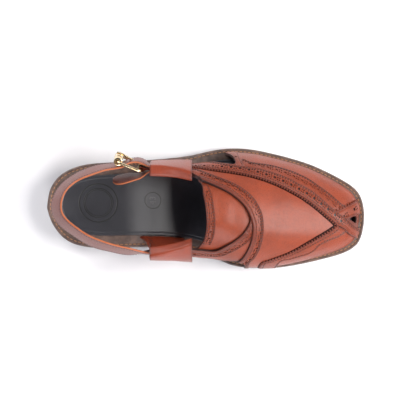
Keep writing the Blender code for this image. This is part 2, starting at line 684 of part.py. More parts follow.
def make_sleeve(name, inner, place):
    leaf = SLEEVE_LEATHER
    low = place.low * STRAP_TOP
    top = place.top * STRAP_TOP
    skin_low = TUNNEL_LOW - leaf
    skin_high = TUNNEL_HIGH + leaf
    rings = []
    holes = []
    for x in np.linspace(SLEEVE_REAR, SLEEVE_FRONT, 6):
        foot = seat(x) + FIT
        middle = (foot + low) / 2
        levels = np.linspace(low, top, FACE_STEPS)
        section = (
            (foot, skin_low), (middle, skin_low), *((level, skin_low) for level in levels),
            (top + 0.7 * leaf, skin_low + 0.5 * leaf), (top + leaf, skin_low + 1.6 * leaf),
            (top + leaf, skin_high - 1.6 * leaf), (top + 0.7 * leaf, skin_high - 0.5 * leaf),
            *((level, skin_high) for level in levels[::-1]), (low - leaf, skin_high - leaf),
            (low - 2.2 * leaf, skin_high - 3 * leaf), (middle, skin_low + 2 * leaf), (foot, skin_low + 2 * leaf),
        )
        rings.append(sleeve_ring(x, inner, place, section))
    for x in np.linspace(SLEEVE_REAR - 6 * MM, SLEEVE_FRONT + 6 * MM, 7):
        levels = np.linspace(low, top, FACE_STEPS)
        hole = [(level, TUNNEL_LOW) for level in levels] + [(level, TUNNEL_HIGH) for level in levels[::-1]]
        holes.append(sleeve_ring(x, inner, place, hole))
    sleeve = loft(name, rings)
    combine(sleeve, loft(name + "_tunnel", holes), "DIFFERENCE")
    return finish(sleeve, TAN, 0.3)


make_sleeve("side_sleeve", False, SIDE_SLEEVE)
make_sleeve("inner_sleeve", True, INNER_SLEEVE)


def strap_solid(name, edges, thickness):
    """A strap through rows of a top edge, a lower edge and a bulge, its outer face on the left of its way."""
    tops = smooth_line([row[0] for row in edges], 2)
    lows = smooth_line([row[1] for row in edges], 2)
    bulges = smooth_line([(row[2], 0.0) for row in edges], 2)[:, 0]
    ways = np.gradient((tops + lows) / 2, axis=0)
    rings = []
    for top, low, bulge, way in zip(tops, lows, bulges, ways):
        outward = Vector(way).cross(Vector(top - low)).normalized()
        ring = []
        for side in (1, -1):
            for k in range(4)[::side]:
                share = k / 3
                out = bulge * 4 * share * (1 - share) + side * thickness / 2
                ring.append(Vector(low + (top - low) * share) + outward * out)
        rings.append(ring)
    return loft(name, rings)


def free_edges(rows, bulge):
    """Top edge, lower edge and bulge of a strap's rows where it hangs free."""
    places = []
    for row in rows:
        top = ((row.top_along - 0.5) * LENGTH, row.top_across * WIDTH, row.top * STRAP_TOP)
        low = ((row.low_along - 0.5) * LENGTH, row.low_across * WIDTH, row.low * STRAP_TOP)
        places.append((top, low, bulge))
    return places


def sleeved_edges(stations, inner, low, top, offset):
    """The same for the rows that lie inside a sleeve, bent to the last."""
    places = []
    for x in stations:
        ends = [beside_last(x, inner, height, offset) for height in (top, low)]
        middle = beside_last(x, inner, (top + low) / 2, offset)
        places.append((tuple(ends[0]), tuple(ends[1]), (middle - (ends[0] + ends[1]) / 2).length))
    return places


# Heel strap, from the side sleeve through the buckle and round the heel to the inner sleeve
SIDE_STRAP_OFFSET = TUNNEL_HIGH - 1.5 * FIT - STRAP_LEATHER / 2
INNER_STRAP_OFFSET = WALL_LOW + STRAP_LEATHER / 2
heel_edges = (
    sleeved_edges((HEEL_STRAP_STOP, SLEEVE_REAR + 5 * MM, SLEEVE_REAR - 1 * MM), False, 0.55 * STRAP_TOP, 0.83 * STRAP_TOP, SIDE_STRAP_OFFSET)
    + free_edges(HEEL_STRAP, 0.6 * MM)
    + sleeved_edges((SLEEVE_REAR + 2 * MM, HEEL_STRAP_STOP), True, 0.51 * STRAP_TOP, 0.82 * STRAP_TOP, INNER_STRAP_OFFSET)
)
heel_strap = strap_solid("heel_strap", heel_edges, STRAP_LEATHER)

# Guard tab, from the side sleeve rearwards under the buckle
GUARD_LEATHER = 1.4 * MM
GUARD_OFFSET = TUNNEL_LOW + FIT + GUARD_LEATHER / 2
guard_edges = (
    sleeved_edges((SLEEVE_REAR + 8 * MM, SLEEVE_REAR + 2 * MM, SLEEVE_REAR - 1 * MM), False, 0.60 * STRAP_TOP, 0.83 * STRAP_TOP, GUARD_OFFSET)
    + free_edges(GUARD_TAB, 0.5 * MM)
)
finish(strap_solid("guard_tab", guard_edges, GUARD_LEATHER), TAN, 0.35)

# Buckle: a bent wire frame with a roller over its rear bar and a prong on its front bar
ROLLER_PLACE = Vector(((0.229 - 0.5) * LENGTH, 0.386 * WIDTH, 0.755 * STRAP_TOP))
HINGE_PLACE = Vector(((0.300 - 0.5) * LENGTH, 0.312 * WIDTH, 0.715 * STRAP_TOP))
BUCKLE_LEAN = 0.30
forward = (HINGE_PLACE - ROLLER_PLACE).normalized()
upward = Vector((0, -BUCKLE_LEAN, 1))
upward = (upward - forward * upward.dot(forward)).normalized()
outward = upward.cross(forward)
if outward.y < 0:
    outward.negate()


def on_buckle(ahead, up, out=0.0, start=ROLLER_PLACE):
    return start + forward * ahead + upward * up + outward * out


def wire(name, points, diameter, closed=False):
    """A bent wire through points, as a curve with a round section."""
    curve = bpy.data.curves.new(name, "CURVE")
    curve.dimensions = "3D"
    curve.bevel_depth = diameter / 2
    curve.bevel_resolution = 2
    curve.use_fill_caps = not closed
    spline = curve.splines.new("POLY")
    spline.points.add(len(points) - 1)
    for point, place in zip(spline.points, points):
        point.co = (*place, 1)
    spline.use_cyclic_u = closed
    made = bpy.data.objects.new(name, curve)
    parts.objects.link(made)
    material = bpy.data.materials.new(name)
    material.use_nodes = True
    shader = material.node_tree.nodes["Principled BSDF"]
    shader.inputs["Base Color"].default_value = (*BRASS, 1)
    shader.inputs["Roughness"].default_value = 0.25
    shader.inputs["Metallic"].default_value = 1.0
    curve.materials.append(material)
    return made


BUCKLE_LONG = (HINGE_PLACE - ROLLER_PLACE).length
CORNER = 3.5 * MM
frame_points = []
for ahead, up, turn in ((BUCKLE_LONG, 1, 0.0), (0.0, 1, 0.5), (0.0, -1, 1.0), (BUCKLE_LONG, -1, 1.5)):
    centre_ahead = ahead - CORNER if ahead else CORNER
    centre_up = up * (BUCKLE_SPAN / 2 - BUCKLE_WIRE / 2 - CORNER)
    for k in range(4):
        angle = math.pi * (turn + k / 6)
        frame_points.append(
            on_buckle(centre_ahead + CORNER * math.cos(angle), centre_up + CORNER * math.sin(angle))
        )
wire("buckle_frame", frame_points, BUCKLE_WIRE, closed=True)


def rod(name, place, way, radius, length, collection=None):
    """A round bar centred on a place."""
    mesh = bmesh.new()
    bmesh.ops.create_cone(
        mesh, cap_ends=True, segments=20, radius1=radius, radius2=radius, depth=length,
        matrix=way.to_track_quat("Z", "Y").to_matrix().to_4x4(),
    )
    bmesh.ops.translate(mesh, verts=mesh.verts, vec=place)
    return add_object(name, mesh, collection)


ROLLER_LENGTH = BUCKLE_SPAN - 2 * BUCKLE_WIRE - 2 * MM
roller = rod("buckle_roller", ROLLER_PLACE, upward, ROLLER / 2, ROLLER_LENGTH)
combine(roller, rod("roller_bore", ROLLER_PLACE, upward, ROLLER_BORE / 2, BUCKLE_SPAN), "DIFFERENCE")
finish(roller, BRASS, 0.25, 1.0)

# The prong's eye goes round the front bar, and its tip lies on the roller
EYE = BUCKLE_WIRE / 2 + FIT + PRONG / 2
prong_points = []
for k in range(8):
    angle = math.pi * (-1.35 + 1.7 * k / 7 + 0.15)
    prong_points.append(on_buckle(BUCKLE_LONG + EYE * math.cos(angle), 0, EYE * math.sin(angle)))
prong_points.append(on_buckle(BUCKLE_LONG * 0.5, 0, 0.5 * (EYE + ROLLER / 2 + FIT + PRONG / 2)))
prong_points.append(on_buckle(1.5 * MM, 0, ROLLER / 2 + FIT + PRONG / 2))
prong_points.append(on_buckle(-3.5 * MM, 0, ROLLER / 2 + FIT + PRONG / 2 - 0.4 * MM))
wire("buckle_prong", prong_points, PRONG)

# The strap's hole for the prong
prong_way = (prong_points[-2] - on_buckle(BUCKLE_LONG, 0, EYE)).normalized()
hole_place = (prong_points[-2] + on_buckle(BUCKLE_LONG, 0, EYE)) / 2
combine(heel_strap, rod("prong_hole", hole_place, prong_way, PRONG / 2 + FIT, BUCKLE_LONG), "DIFFERENCE")
finish(heel_strap, TAN, 0.35)

# Hinge loop: a strip of leather round the front bar, both ends held in the side sleeve
LOOP_LEATHER = 0.9 * MM
LOOP_WIDTH = 12 * MM
loop_round = BUCKLE_WIRE / 2 + FIT + LOOP_LEATHER
loop_offset = GUARD_OFFSET + GUARD_LEATHER / 2 + 2 * FIT + LOOP_LEATHER
loop_end = beside_last(SLEEVE_REAR + 3 * MM, False, 0.705 * STRAP_TOP, loop_offset)
reach = (loop_end - HINGE_PLACE).dot(forward)
aside = (loop_end - HINGE_PLACE).dot(outward)
section = [(math.cos(t) * loop_round, math.sin(t) * loop_round) for t in np.linspace(0.5, 1.5, 9) * math.pi]
section += [(reach * 0.45, aside * 0.6 - LOOP_LEATHER), (reach, aside - LOOP_LEATHER)]
section += [(reach, aside + LOOP_LEATHER), (reach * 0.45, aside * 0.6 + LOOP_LEATHER)]
loop_rings = [
    [on_buckle(ahead, up, out, HINGE_PLACE) for ahead, out in section]
    for up in (-LOOP_WIDTH / 2, LOOP_WIDTH / 2)
]
hinge_loop = loft("hinge_loop", loop_rings)
bore = rod("hinge_bore", HINGE_PLACE, upward, BUCKLE_WIRE / 2 + FIT, LOOP_WIDTH * 2)
combine(hinge_loop, bore, "DIFFERENCE")
eye_slot = rod("eye_slot", HINGE_PLACE, upward, EYE + PRONG / 2 + FIT, PRONG + 4 * FIT)
combine(hinge_loop, eye_slot, "DIFFERENCE")
finish(hinge_loop, DEEP_TAN, 0.4)
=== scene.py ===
"""Looks of one left peshawari chappal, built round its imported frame: a welted leather sole, an open upper of
crossed brogued straps, an instep tongue, two side sleeves and a buckled heel strap. Metres, +X to the toe."""

import json
import math
from collections import namedtuple

import bmesh
import bpy
import numpy as np
from mathutils import Matrix, Vector
from mathutils.bvhtree import BVHTree
from mathutils.interpolate import poly_3d_calc
from mathutils.kdtree import KDTree

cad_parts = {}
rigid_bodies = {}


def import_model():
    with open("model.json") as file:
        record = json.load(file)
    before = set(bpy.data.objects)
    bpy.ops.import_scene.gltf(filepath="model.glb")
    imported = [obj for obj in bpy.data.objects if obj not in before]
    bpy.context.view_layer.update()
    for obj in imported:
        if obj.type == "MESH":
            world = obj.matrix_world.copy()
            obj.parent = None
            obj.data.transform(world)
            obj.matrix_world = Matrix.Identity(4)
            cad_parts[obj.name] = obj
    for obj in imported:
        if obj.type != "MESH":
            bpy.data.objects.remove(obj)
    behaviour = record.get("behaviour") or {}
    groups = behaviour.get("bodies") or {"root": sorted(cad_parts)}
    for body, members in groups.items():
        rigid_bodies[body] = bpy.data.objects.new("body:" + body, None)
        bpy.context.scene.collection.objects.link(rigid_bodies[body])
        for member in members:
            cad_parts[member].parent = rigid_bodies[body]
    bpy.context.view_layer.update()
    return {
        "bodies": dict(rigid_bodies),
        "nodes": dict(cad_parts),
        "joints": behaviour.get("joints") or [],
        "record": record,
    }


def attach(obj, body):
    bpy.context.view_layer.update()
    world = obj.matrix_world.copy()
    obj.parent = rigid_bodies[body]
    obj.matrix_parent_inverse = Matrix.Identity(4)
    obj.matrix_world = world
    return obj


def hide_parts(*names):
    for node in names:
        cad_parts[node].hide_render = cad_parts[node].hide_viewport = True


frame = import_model()
bpy.ops.object.select_all(action="DESELECT")

MM = 0.001

# Camera: the photograph looks straight down from a little to the big-toe side, toes to the right
CAMERA_PLACE = Vector((1.7, -63.5, 1500)) * MM
CAMERA_AIM = Vector((1.7, 0, 20)) * MM
CAMERA_LENS = 135.2

bpy.ops.object.camera_add(location=CAMERA_PLACE)
camera = bpy.context.object
camera.rotation_euler = (CAMERA_AIM - CAMERA_PLACE).to_track_quat("-Z", "Y").to_euler()
camera.data.lens = CAMERA_LENS
camera.data.clip_end = 20
bpy.context.scene.camera = camera

# Room: a plain white floor under soft light, strong from low down and weak from overhead, with softboxes past
# the toe, past the heel and on the inner side
bpy.ops.mesh.primitive_plane_add(size=8)
floor = bpy.context.object
floor.name = "floor"

world = bpy.data.worlds.new("room")
bpy.context.scene.world = world
world.use_nodes = True
room = world.node_tree
direction = room.nodes.new("ShaderNodeTexCoord")
height = room.nodes.new("ShaderNodeSeparateXYZ")
fade = room.nodes.new("ShaderNodeMapRange")
for socket, value in ((1, 0.15), (2, 0.95), (3, 0.78), (4, 0.12)):
    fade.inputs[socket].default_value = value
room.links.new(direction.outputs["Generated"], height.inputs[0])
room.links.new(height.outputs[2], fade.inputs[0])
room.links.new(fade.outputs[0], room.nodes["Background"].inputs["Strength"])
room.nodes["Background"].inputs["Color"].default_value = (0.88, 0.88, 1.0, 1)
bpy.context.scene.view_settings.view_transform = "Standard"

Softbox = namedtuple("Softbox", "place size power colour")
for box in (
    Softbox((1.00, -0.05, 1.05), 0.8, 27.0, (1.0, 0.97, 0.95)),
    Softbox((-0.9, 1.2, 0.75), 0.8, 16.0, (1.0, 0.98, 0.96)),
    Softbox((0.0, -1.4, 0.75), 0.8, 13.0, (0.97, 0.97, 1.0)),
):
    bpy.ops.object.light_add(type="AREA", location=box.place)
    lamp = bpy.context.object
    lamp.rotation_euler = (-Vector(box.place)).to_track_quat("-Z", "Y").to_euler()
    lamp.data.size = box.size
    lamp.data.energy = box.power
    lamp.data.color = box.colour


class Maths:
    """A shader's socket that Python's own signs work on: each sign adds its Math node."""

    def __init__(self, finish, socket):
        self.finish = finish
        self.socket = socket

    def math(self, operation, *others):
        values = (self, *others)
        made = self.finish.node("ShaderNodeMath", {"operation": operation}, dict(enumerate(values)))
        return Maths(self.finish, made.outputs[0])

    def __add__(self, other):
        return self.math("ADD", other)

    def __sub__(self, other):
        return self.math("SUBTRACT", other)

    def __rsub__(self, other):
        return self.math("MULTIPLY_ADD", -1.0, other)

    def __mul__(self, other):
        return self.math("MULTIPLY", other)

    def __truediv__(self, other):
        return self.math("DIVIDE", other)

    def ramp(self, low, high):
        """0 below low, 1 above high, and smooth between."""
        made = self.finish.node(
            "ShaderNodeMapRange",
            {"interpolation_type": "SMOOTHSTEP"},
            {0: self, 1: low, 2: high, 3: 0.0, 4: 1.0},
        )
        return Maths(self.finish, made.outputs[0])

    __radd__ = __add__
    __rmul__ = __mul__


class Finish:
    """A material under way: its shader, and the nodes that feed it."""

    def __init__(self, name, **sockets):
        self.material = bpy.data.materials.new(name)
        self.material.use_nodes = True
        self.tree = self.material.node_tree
        self.shader = self.tree.nodes["Principled BSDF"]
        for socket, value in sockets.items():
            self.shader.inputs[socket.replace("_", " ")].default_value = value

    def node(self, kind, settings, sockets):
        """A node of a kind, with its settings made first and then its sockets given values or links."""
        made = self.tree.nodes.new(kind)
        for setting, value in settings.items():
            setattr(made, setting, value)
        for socket, value in sockets.items():
            if isinstance(value, Maths):
                value = value.socket
            if isinstance(value, bpy.types.NodeSocket):
                self.tree.links.new(value, made.inputs[socket])
            else:
                made.inputs[socket].default_value = value
        return made

    def place(self):
        return self.node("ShaderNodeTexCoord", {}, {}).outputs["Object"]

    def axis(self, which):
        made = self.node("ShaderNodeSeparateXYZ", {}, {0: self.place()})
        return Maths(self, made.outputs[which])

    def attribute(self, name):
        made = self.node("ShaderNodeAttribute", {"attribute_name": name}, {})
        return Maths(self, made.outputs["Fac"])

    def noise(self, size, detail=3.0, roughness=0.55):
        """Noise from 0 to 1 whose patches are about the given size across."""
        made = self.node(
            "ShaderNodeTexNoise",
            {},
            {"Vector": self.place(), "Scale": 1 / size, "Detail": detail, "Roughness": roughness},
        )
        return Maths(self, made.outputs["Fac"])

    def cells(self, size):
        """0 on the borders of small cells of the given size, and more inside them."""
        made = self.node(
            "ShaderNodeTexVoronoi",
            {"feature": "DISTANCE_TO_EDGE"},
            {"Vector": self.place(), "Scale": 1 / size},
        )
        return Maths(self, made.outputs["Distance"])

    def mix(self, factor, first, second):
        """A colour between two, each a colour or a socket."""
        ends = [(*colour, 1) if isinstance(colour, tuple) else colour for colour in (first, second)]
        made = self.node("ShaderNodeMix", {"data_type": "RGBA"}, {0: factor, 6: ends[0], 7: ends[1]})
        return made.outputs[2]

    def feed(self, socket, value):
        """Links what varies over the surface to one of the shader's sockets."""
        self.tree.links.new(value.socket if isinstance(value, Maths) else value, self.shader.inputs[socket])

    def bump(self, height, distance, strength=1.0):
        made = self.node(
            "ShaderNodeBump", {}, {"Height": height, "Distance": distance, "Strength": strength}
        )
        self.feed("Normal", made.outputs[0])


def settle(made, finishes, body="root", replaces=()):
    """Gives a finished piece its materials, body and slot."""
    which = np.zeros(len(made.data.polygons), np.int32)
    made.data.polygons.foreach_get("material_index", which)
    made.data.materials.clear()
    for finish in finishes:
        made.data.materials.append(finish.material)
    made.data.polygons.foreach_set("material_index", which)
    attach(made, body)
    if replaces:
        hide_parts(*replaces)
    return made


floor_finish = Finish("floor_white", Base_Color=(0.93, 0.93, 0.94, 1), Roughness=0.6)
speck = floor_finish.noise(300 * MM)
floor_finish.feed("Base Color", floor_finish.mix(speck, (0.93, 0.93, 0.94), (0.95, 0.95, 0.955)))
floor.data.materials.append(floor_finish.material)

# Sole: a rubber outsole and a leather welt, both bent from the raised heel down to the ball and up at the
# toe. The welt is stitched to the outsole all round, and its edge is burnished dark.
LENGTH = 300 * MM
WIDTH = 114.4 * MM
HEEL_LIFT = 18 * MM
TOE_SPRING = 9 * MM
OUTSOLE = 5 * MM
MIDSOLE = 4 * MM
INSOLE = 2.2 * MM
FIT = 0.3 * MM

HeightRow = namedtuple("HeightRow", "along height")
LastRow = namedtuple("LastRow", "along side_margin inner_margin ridge rise side_swell inner_swell fullness")
StrapRow = namedtuple("StrapRow", "top_along top_across top low_along low_across low")

# The sole seen from above: along as a share of LENGTH from the heel, across as a share of WIDTH
SOLE_OUTLINE = (
    (0.000, 0.030), (0.012, 0.170), (0.049, 0.285), (0.119, 0.356), (0.228, 0.379), (0.322, 0.398),
    (0.391, 0.417), (0.448, 0.439), (0.496, 0.470), (0.544, 0.495), (0.595, 0.503), (0.646, 0.493),
    (0.703, 0.464), (0.766, 0.422), (0.830, 0.368), (0.893, 0.292), (0.949, 0.208), (0.977, 0.146),
    (0.992, 0.075), (0.999, -0.010), (1.000, -0.090), (0.997, -0.160), (0.991, -0.228), (0.979, -0.295),
    (0.952, -0.351), (0.915, -0.390), (0.861, -0.428), (0.798, -0.465), (0.735, -0.491), (0.677, -0.497),
    (0.623, -0.492), (0.576, -0.468), (0.528, -0.411), (0.480, -0.361), (0.417, -0.331), (0.322, -0.325),
    (0.228, -0.330), (0.150, -0.331), (0.087, -0.301), (0.048, -0.240), (0.018, -0.140), (0.002, -0.030),
)

# The underside: a share of HEEL_LIFT behind the ball, then a share of TOE_SPRING
HEEL_CURVE = [
    HeightRow(*row)
    for row in ((0.0, 1.0), (0.24, 0.97), (0.33, 0.74), (0.42, 0.38), (0.49, 0.10), (0.55, 0.0), (0.73, 0.0))
]
SPRING_CURVE = [
    HeightRow(*row) for row in ((0.73, 0.0), (0.80, 0.10), (0.88, 0.36), (0.95, 0.69), (1.0, 1.0))
]

# The last: margins, ridge and swells as shares of WIDTH, rise as a share of INSTEP_RISE
LAST = [
    LastRow(*row)
    for row in (
        (0.10, 0.079, 0.079, 0.035, 1.20, -0.020, 0.052, 3.0),
        (0.30, 0.074, 0.074, 0.000, 1.16, -0.020, 0.130, 3.0),
        (0.40, 0.070, 0.070, -0.017, 1.08, -0.024, 0.130, 2.9),
        (0.47, 0.066, 0.066, -0.035, 1.04, -0.040, 0.118, 2.6),
        (0.53, 0.066, 0.061, -0.070, 1.02, -0.026, 0.079, 2.4),
        (0.60, 0.066, 0.052, -0.105, 0.96, -0.004, 0.035, 2.3),
        (0.70, 0.066, 0.048, -0.131, 0.80, 0.0, 0.013, 2.3),
        (0.80, 0.066, 0.052, -0.149, 0.59, 0.0, 0.004, 2.4),
        (0.88, 0.070, 0.061, -0.140, 0.41, 0.0, 0.0, 2.5),
        (0.95, 0.074, 0.074, -0.122, 0.30, 0.0, 0.0, 2.5),
        (1.00, 0.077, 0.077, -0.114, 0.25, 0.0, 0.0, 2.5),
    )
]


def steady_curve(rows, column):
    """One column of a table as a function of the place along the shoe, on a curve that never overshoots."""
    along = np.array([row.along for row in rows])
    value = np.array([getattr(row, column) for row in rows])
    step = np.diff(along)
    slope = np.diff(value) / step
    bend = np.zeros(len(rows))
    same_way = slope[:-1] * slope[1:] > 0
    bend[1:-1][same_way] = 2 * (slope[:-1] * slope[1:])[same_way] / (slope[:-1] + slope[1:])[same_way]
    bend[0] = slope[0]
    bend[-1] = slope[-1]

    def at(where):
        where = np.clip(where, along[0], along[-1])
        i = np.clip(np.searchsorted(along, where) - 1, 0, len(step) - 1)
        t = (where - along[i]) / step[i]
        rise = (3 - 2 * t) * t * t
        lead = ((t - 2) * t + 1) * t * step[i] * bend[i]
        trail = (t - 1) * t * t * step[i] * bend[i + 1]
        return value[i] + (value[i + 1] - value[i]) * rise + lead + trail

    return at


def smooth_line(points, steps, closed=False):
    """Points on a smooth curve through the given ones, with so many steps from each to the next."""
    given = np.array(points, float)
    count = len(given)
    spans = count if closed else count - 1
    found = []
    for i in range(spans):
        before = given[i - 1] if closed or i else 2 * given[0] - given[1]
        start = given[i]
        end = given[(i + 1) % count]
        after = given[(i + 2) % count] if closed or i + 2 < count else 2 * given[-1] - given[-2]
        for k in range(steps):
            t = k / steps
            curve = 2 * start + (end - before) * t
            curve = curve + (2 * before - 5 * start + 4 * end - after) * t**2
            found.append(0.5 * (curve + (3 * start - before - 3 * end + after) * t**3))
    if not closed:
        found.append(given[-1])
    return np.array(found)


def evenly(line, count, closed=False):
    """The same line with so many points, all as far apart."""
    whole = np.vstack([line, line[:1]]) if closed else np.array(line)
    run = np.concatenate([[0], np.cumsum(np.linalg.norm(np.diff(whole, axis=0), axis=1))])
    at = np.linspace(0, run[-1], count, endpoint=not closed)
    return np.column_stack([np.interp(at, run, whole[:, k]) for k in range(whole.shape[1])])


def length_of(line):
    return np.linalg.norm(np.diff(line, axis=0), axis=1).sum()


def along_of(x):
    return x / LENGTH + 0.5


def plan(points):
    """Shares of the sole's length and width as places in the shoe's own frame."""
    shares = np.array(points, float)
    return np.column_stack([(shares[:, 0] - 0.5) * LENGTH, shares[:, 1] * WIDTH])


def inset(loop, margin):
    """A closed outline moved inwards by a margin, which is one length or one for each point."""
    way = np.roll(loop, -1, axis=0) - np.roll(loop, 1, axis=0)
    inward = np.column_stack([way[:, 1], -way[:, 0]])
    inward /= np.linalg.norm(inward, axis=1)[:, None]
    return loop + inward * np.broadcast_to(margin, len(loop))[:, None]


heel_height = steady_curve(HEEL_CURVE, "height")
spring_height = steady_curve(SPRING_CURVE, "height")
ridge_share = steady_curve(LAST, "ridge")
side_margin = steady_curve(LAST, "side_margin")
inner_margin = steady_curve(LAST, "inner_margin")


def underside(x):
    """Height of the outsole's underside above the floor."""
    along = along_of(x)
    return HEEL_LIFT * heel_height(along) + TOE_SPRING * spring_height(along)


def seat(x):
    """Height of the welt's top, on which the upper and the insole stand."""
    return underside(x) + OUTSOLE + FIT + MIDSOLE


def last_margins(loop):
    along = along_of(loop[:, 0])
    return np.where(loop[:, 1] > 0, side_margin(along), inner_margin(along)) * WIDTH


OUTLINE_POINTS = 320
SPINE_END = 95 * MM
SOLE_LOOP = evenly(smooth_line(plan(SOLE_OUTLINE), 8, closed=True), OUTLINE_POINTS, closed=True)


def mesh_object(name, mesh):
    """An object of a mesh under way, its faces outwards and shaded smooth but for its edges."""
    if mesh.calc_volume(signed=True) < 0:
        bmesh.ops.reverse_faces(mesh, faces=mesh.faces)
    data = bpy.data.meshes.new(name)
    mesh.to_mesh(data)
    mesh.free()
    made = bpy.data.objects.new(name, data)
    bpy.context.scene.collection.objects.link(made)
    data.shade_smooth()
    data.set_sharp_from_angle(angle=math.radians(40))
    return made


def plate(name, loop, section):
    """A layer of the sole: its edge's section of insets and heights, run round the outline and closed to a
    spine."""
    mirrored = np.roll(loop[::-1], 1, axis=0)
    spine_x = np.clip((loop[:, 0] + mirrored[:, 0]) / 2, -SPINE_END, SPINE_END)
    spine = np.column_stack([spine_x, ridge_share(along_of(spine_x)) * WIDTH])
    rings = [(*section[0], share) for share in (1.0, 0.66, 0.33)]
    rings += [(*row, 0.0) for row in section]
    rings += [(*section[-1], share) for share in (0.33, 0.66, 1.0)]
    mesh = bmesh.new()
    made = []
    for margin, height, share in rings:
        edge = inset(loop, margin)
        points = edge + (spine - edge) * share
        levels = underside(points[:, 0]) + height
        made.append([mesh.verts.new((x, y, z)) for (x, y), z in zip(points, levels)])
    count = len(loop)
    for here, there in zip(made, made[1:]):
        for k in range(count):
            mesh.faces.new([here[k], here[(k + 1) % count], there[(k + 1) % count], there[k]])
    bmesh.ops.remove_doubles(mesh, verts=mesh.verts, dist=0.01 * MM)
    return mesh_object(name, mesh)


def in_mm(rows):
    return [(margin * MM, height * MM) for margin, height in rows]


OUTSOLE_EDGE = in_mm(((2.2, 0.0), (1.0, 0.05), (0.3, 0.35), (0.0, 0.9), (0.0, 4.4), (0.25, 4.85), (0.9, 5.0)))
WELT_EDGE = in_mm((
    (1.2, 5.3), (0.45, 5.4), (0.0, 5.9), (0.0, 6.9), (0.25, 7.15), (0.25, 7.45), (0.0, 7.7), (0.0, 8.5),
    (0.35, 9.05), (1.0, 9.3), (2.3, 9.3), (2.7, 9.0), (3.4, 9.0), (3.8, 9.3), (8.0, 9.3), (14.0, 9.3),
))

rubber = Finish("outsole_rubber", Roughness=0.7)
fleck = rubber.noise(1.2 * MM, 4.0)
rubber.feed("Base Color", rubber.mix(fleck, (0.055, 0.042, 0.038), (0.12, 0.085, 0.07)))
rubber.bump(fleck * 0.6 + rubber.noise(0.3 * MM), 0.3 * MM)

welt_leather = Finish("welt_leather", Roughness=0.5, Coat_Weight=0.15, Coat_Roughness=0.3)
layer = welt_leather.noise(6 * MM, 4.0)
fibre = welt_leather.noise(0.5 * MM, 5.0, 0.7)
worn = welt_leather.mix(layer.ramp(0.35, 0.7), (0.085, 0.055, 0.045), (0.17, 0.105, 0.08))
welt_leather.feed("Base Color", welt_leather.mix(fibre.ramp(0.62, 0.78), worn, (0.24, 0.15, 0.11)))
welt_leather.feed("Roughness", layer * 0.25 + 0.4)
welt_leather.bump(fibre, 0.15 * MM)

outsole = plate("outsole_rubber_layer", inset(SOLE_LOOP, 1.0 * MM), OUTSOLE_EDGE)
settle(outsole, (rubber,), replaces=("outsole",))
welt = plate("welt", SOLE_LOOP, WELT_EDGE)
settle(welt, (welt_leather,), replaces=("midsole",))


def scatter(name, model, frames):
    """One mesh of copies of a model, each in its own frame of a place, a way and an upward normal."""
    corners = np.array([v.co for v in model.data.vertices])
    faces = [tuple(p.vertices) for p in model.data.polygons]
    points = []
    rings = []
    for place, way, up in frames:
        way = way.normalized()
        side = up.cross(way).normalized()
        lift = way.cross(side)
        turn = np.array([way, side, lift]).T
        rings += [tuple(i + len(points) * len(corners) for i in ring) for ring in faces]
        points.append(corners @ turn.T + np.array(place))
    data = bpy.data.meshes.new(name)
    data.from_pydata(np.vstack(points).tolist(), [], rings)
    data.shade_smooth()
    made = bpy.data.objects.new(name, data)
    bpy.context.scene.collection.objects.link(made)
    bpy.data.objects.remove(model, do_unlink=True)
    return made


def stitch_model(length, thickness):
    """One stitch: a short rounded run of thread."""
    bpy.ops.mesh.primitive_uv_sphere_add(segments=6, ring_count=5, radius=1.0)
    model = bpy.context.object
    model.rotation_euler = (0, math.pi / 2, 0)
    bpy.ops.object.transform_apply(rotation=True)
    model.scale = (length / 2, thickness / 2, thickness / 2)
    bpy.ops.object.transform_apply(scale=True)
    model.select_set(False)
    return model


WELT_STITCH = (3.1 * MM, 0.95 * MM)
WELT_STITCH_PITCH = 4.0 * MM
WELT_STITCH_INSET = 3.05 * MM
thread_line = inset(SOLE_LOOP, WELT_STITCH_INSET)
thread_line = evenly(thread_line, round(length_of(thread_line) / WELT_STITCH_PITCH), closed=True)
thread_places = [Vector((x, y, seat(x) - 0.05 * MM)) for x, y in thread_line]
thread_frames = [
    (place, thread_places[(i + 1) % len(thread_places)] - thread_places[i - 1], Vector((0, 0, 1)))
    for i, place in enumerate(thread_places)
]
thread = Finish("tan_thread", Base_Color=(0.42, 0.20, 0.09, 1), Roughness=0.55)
twist = thread.noise(0.4 * MM)
thread.feed("Base Color", thread.mix(twist, (0.30, 0.13, 0.06), (0.52, 0.27, 0.13)))
thread.bump(twist, 0.1 * MM)
welt_stitches = scatter("welt_stitches", stitch_model(*WELT_STITCH), thread_frames)
settle(welt_stitches, (thread,))

# Heel: stacked leather lifts, burnished dark and nailed on under the outsole, with a rubber top piece that
# meets the floor. Both are the frame's own solids.
HEEL_LIFT_LEATHER = 3.6 * MM
stack = Finish("heel_stack", Roughness=0.45, Coat_Weight=0.2, Coat_Roughness=0.3)
lift_share = (stack.axis(2) / HEEL_LIFT_LEATHER).math("FRACT")
lift_line = (lift_share - 0.5).math("ABSOLUTE").ramp(0.42, 0.5)
stack_grain = stack.noise(0.8 * MM, 4.0)
stack_tone = stack.mix(stack_grain, (0.075, 0.046, 0.037), (0.15, 0.092, 0.07))
stack.feed("Base Color", stack.mix(lift_line, stack_tone, (0.03, 0.02, 0.017)))
stack.bump(stack_grain * 0.4 - lift_line, 0.25 * MM)
top_rubber = Finish("top_piece_rubber", Roughness=0.75)
top_grain = top_rubber.noise(0.7 * MM, 4.0)
top_rubber.feed("Base Color", top_rubber.mix(top_grain, (0.018, 0.017, 0.017), (0.045, 0.042, 0.04)))
top_rubber.bump(top_grain, 0.2 * MM)
for node, finish in (("heel_block", stack), ("heel_top_piece", top_rubber)):
    solid = frame["nodes"][node]
    solid.data.materials.clear()
    solid.data.materials.append(finish.material)

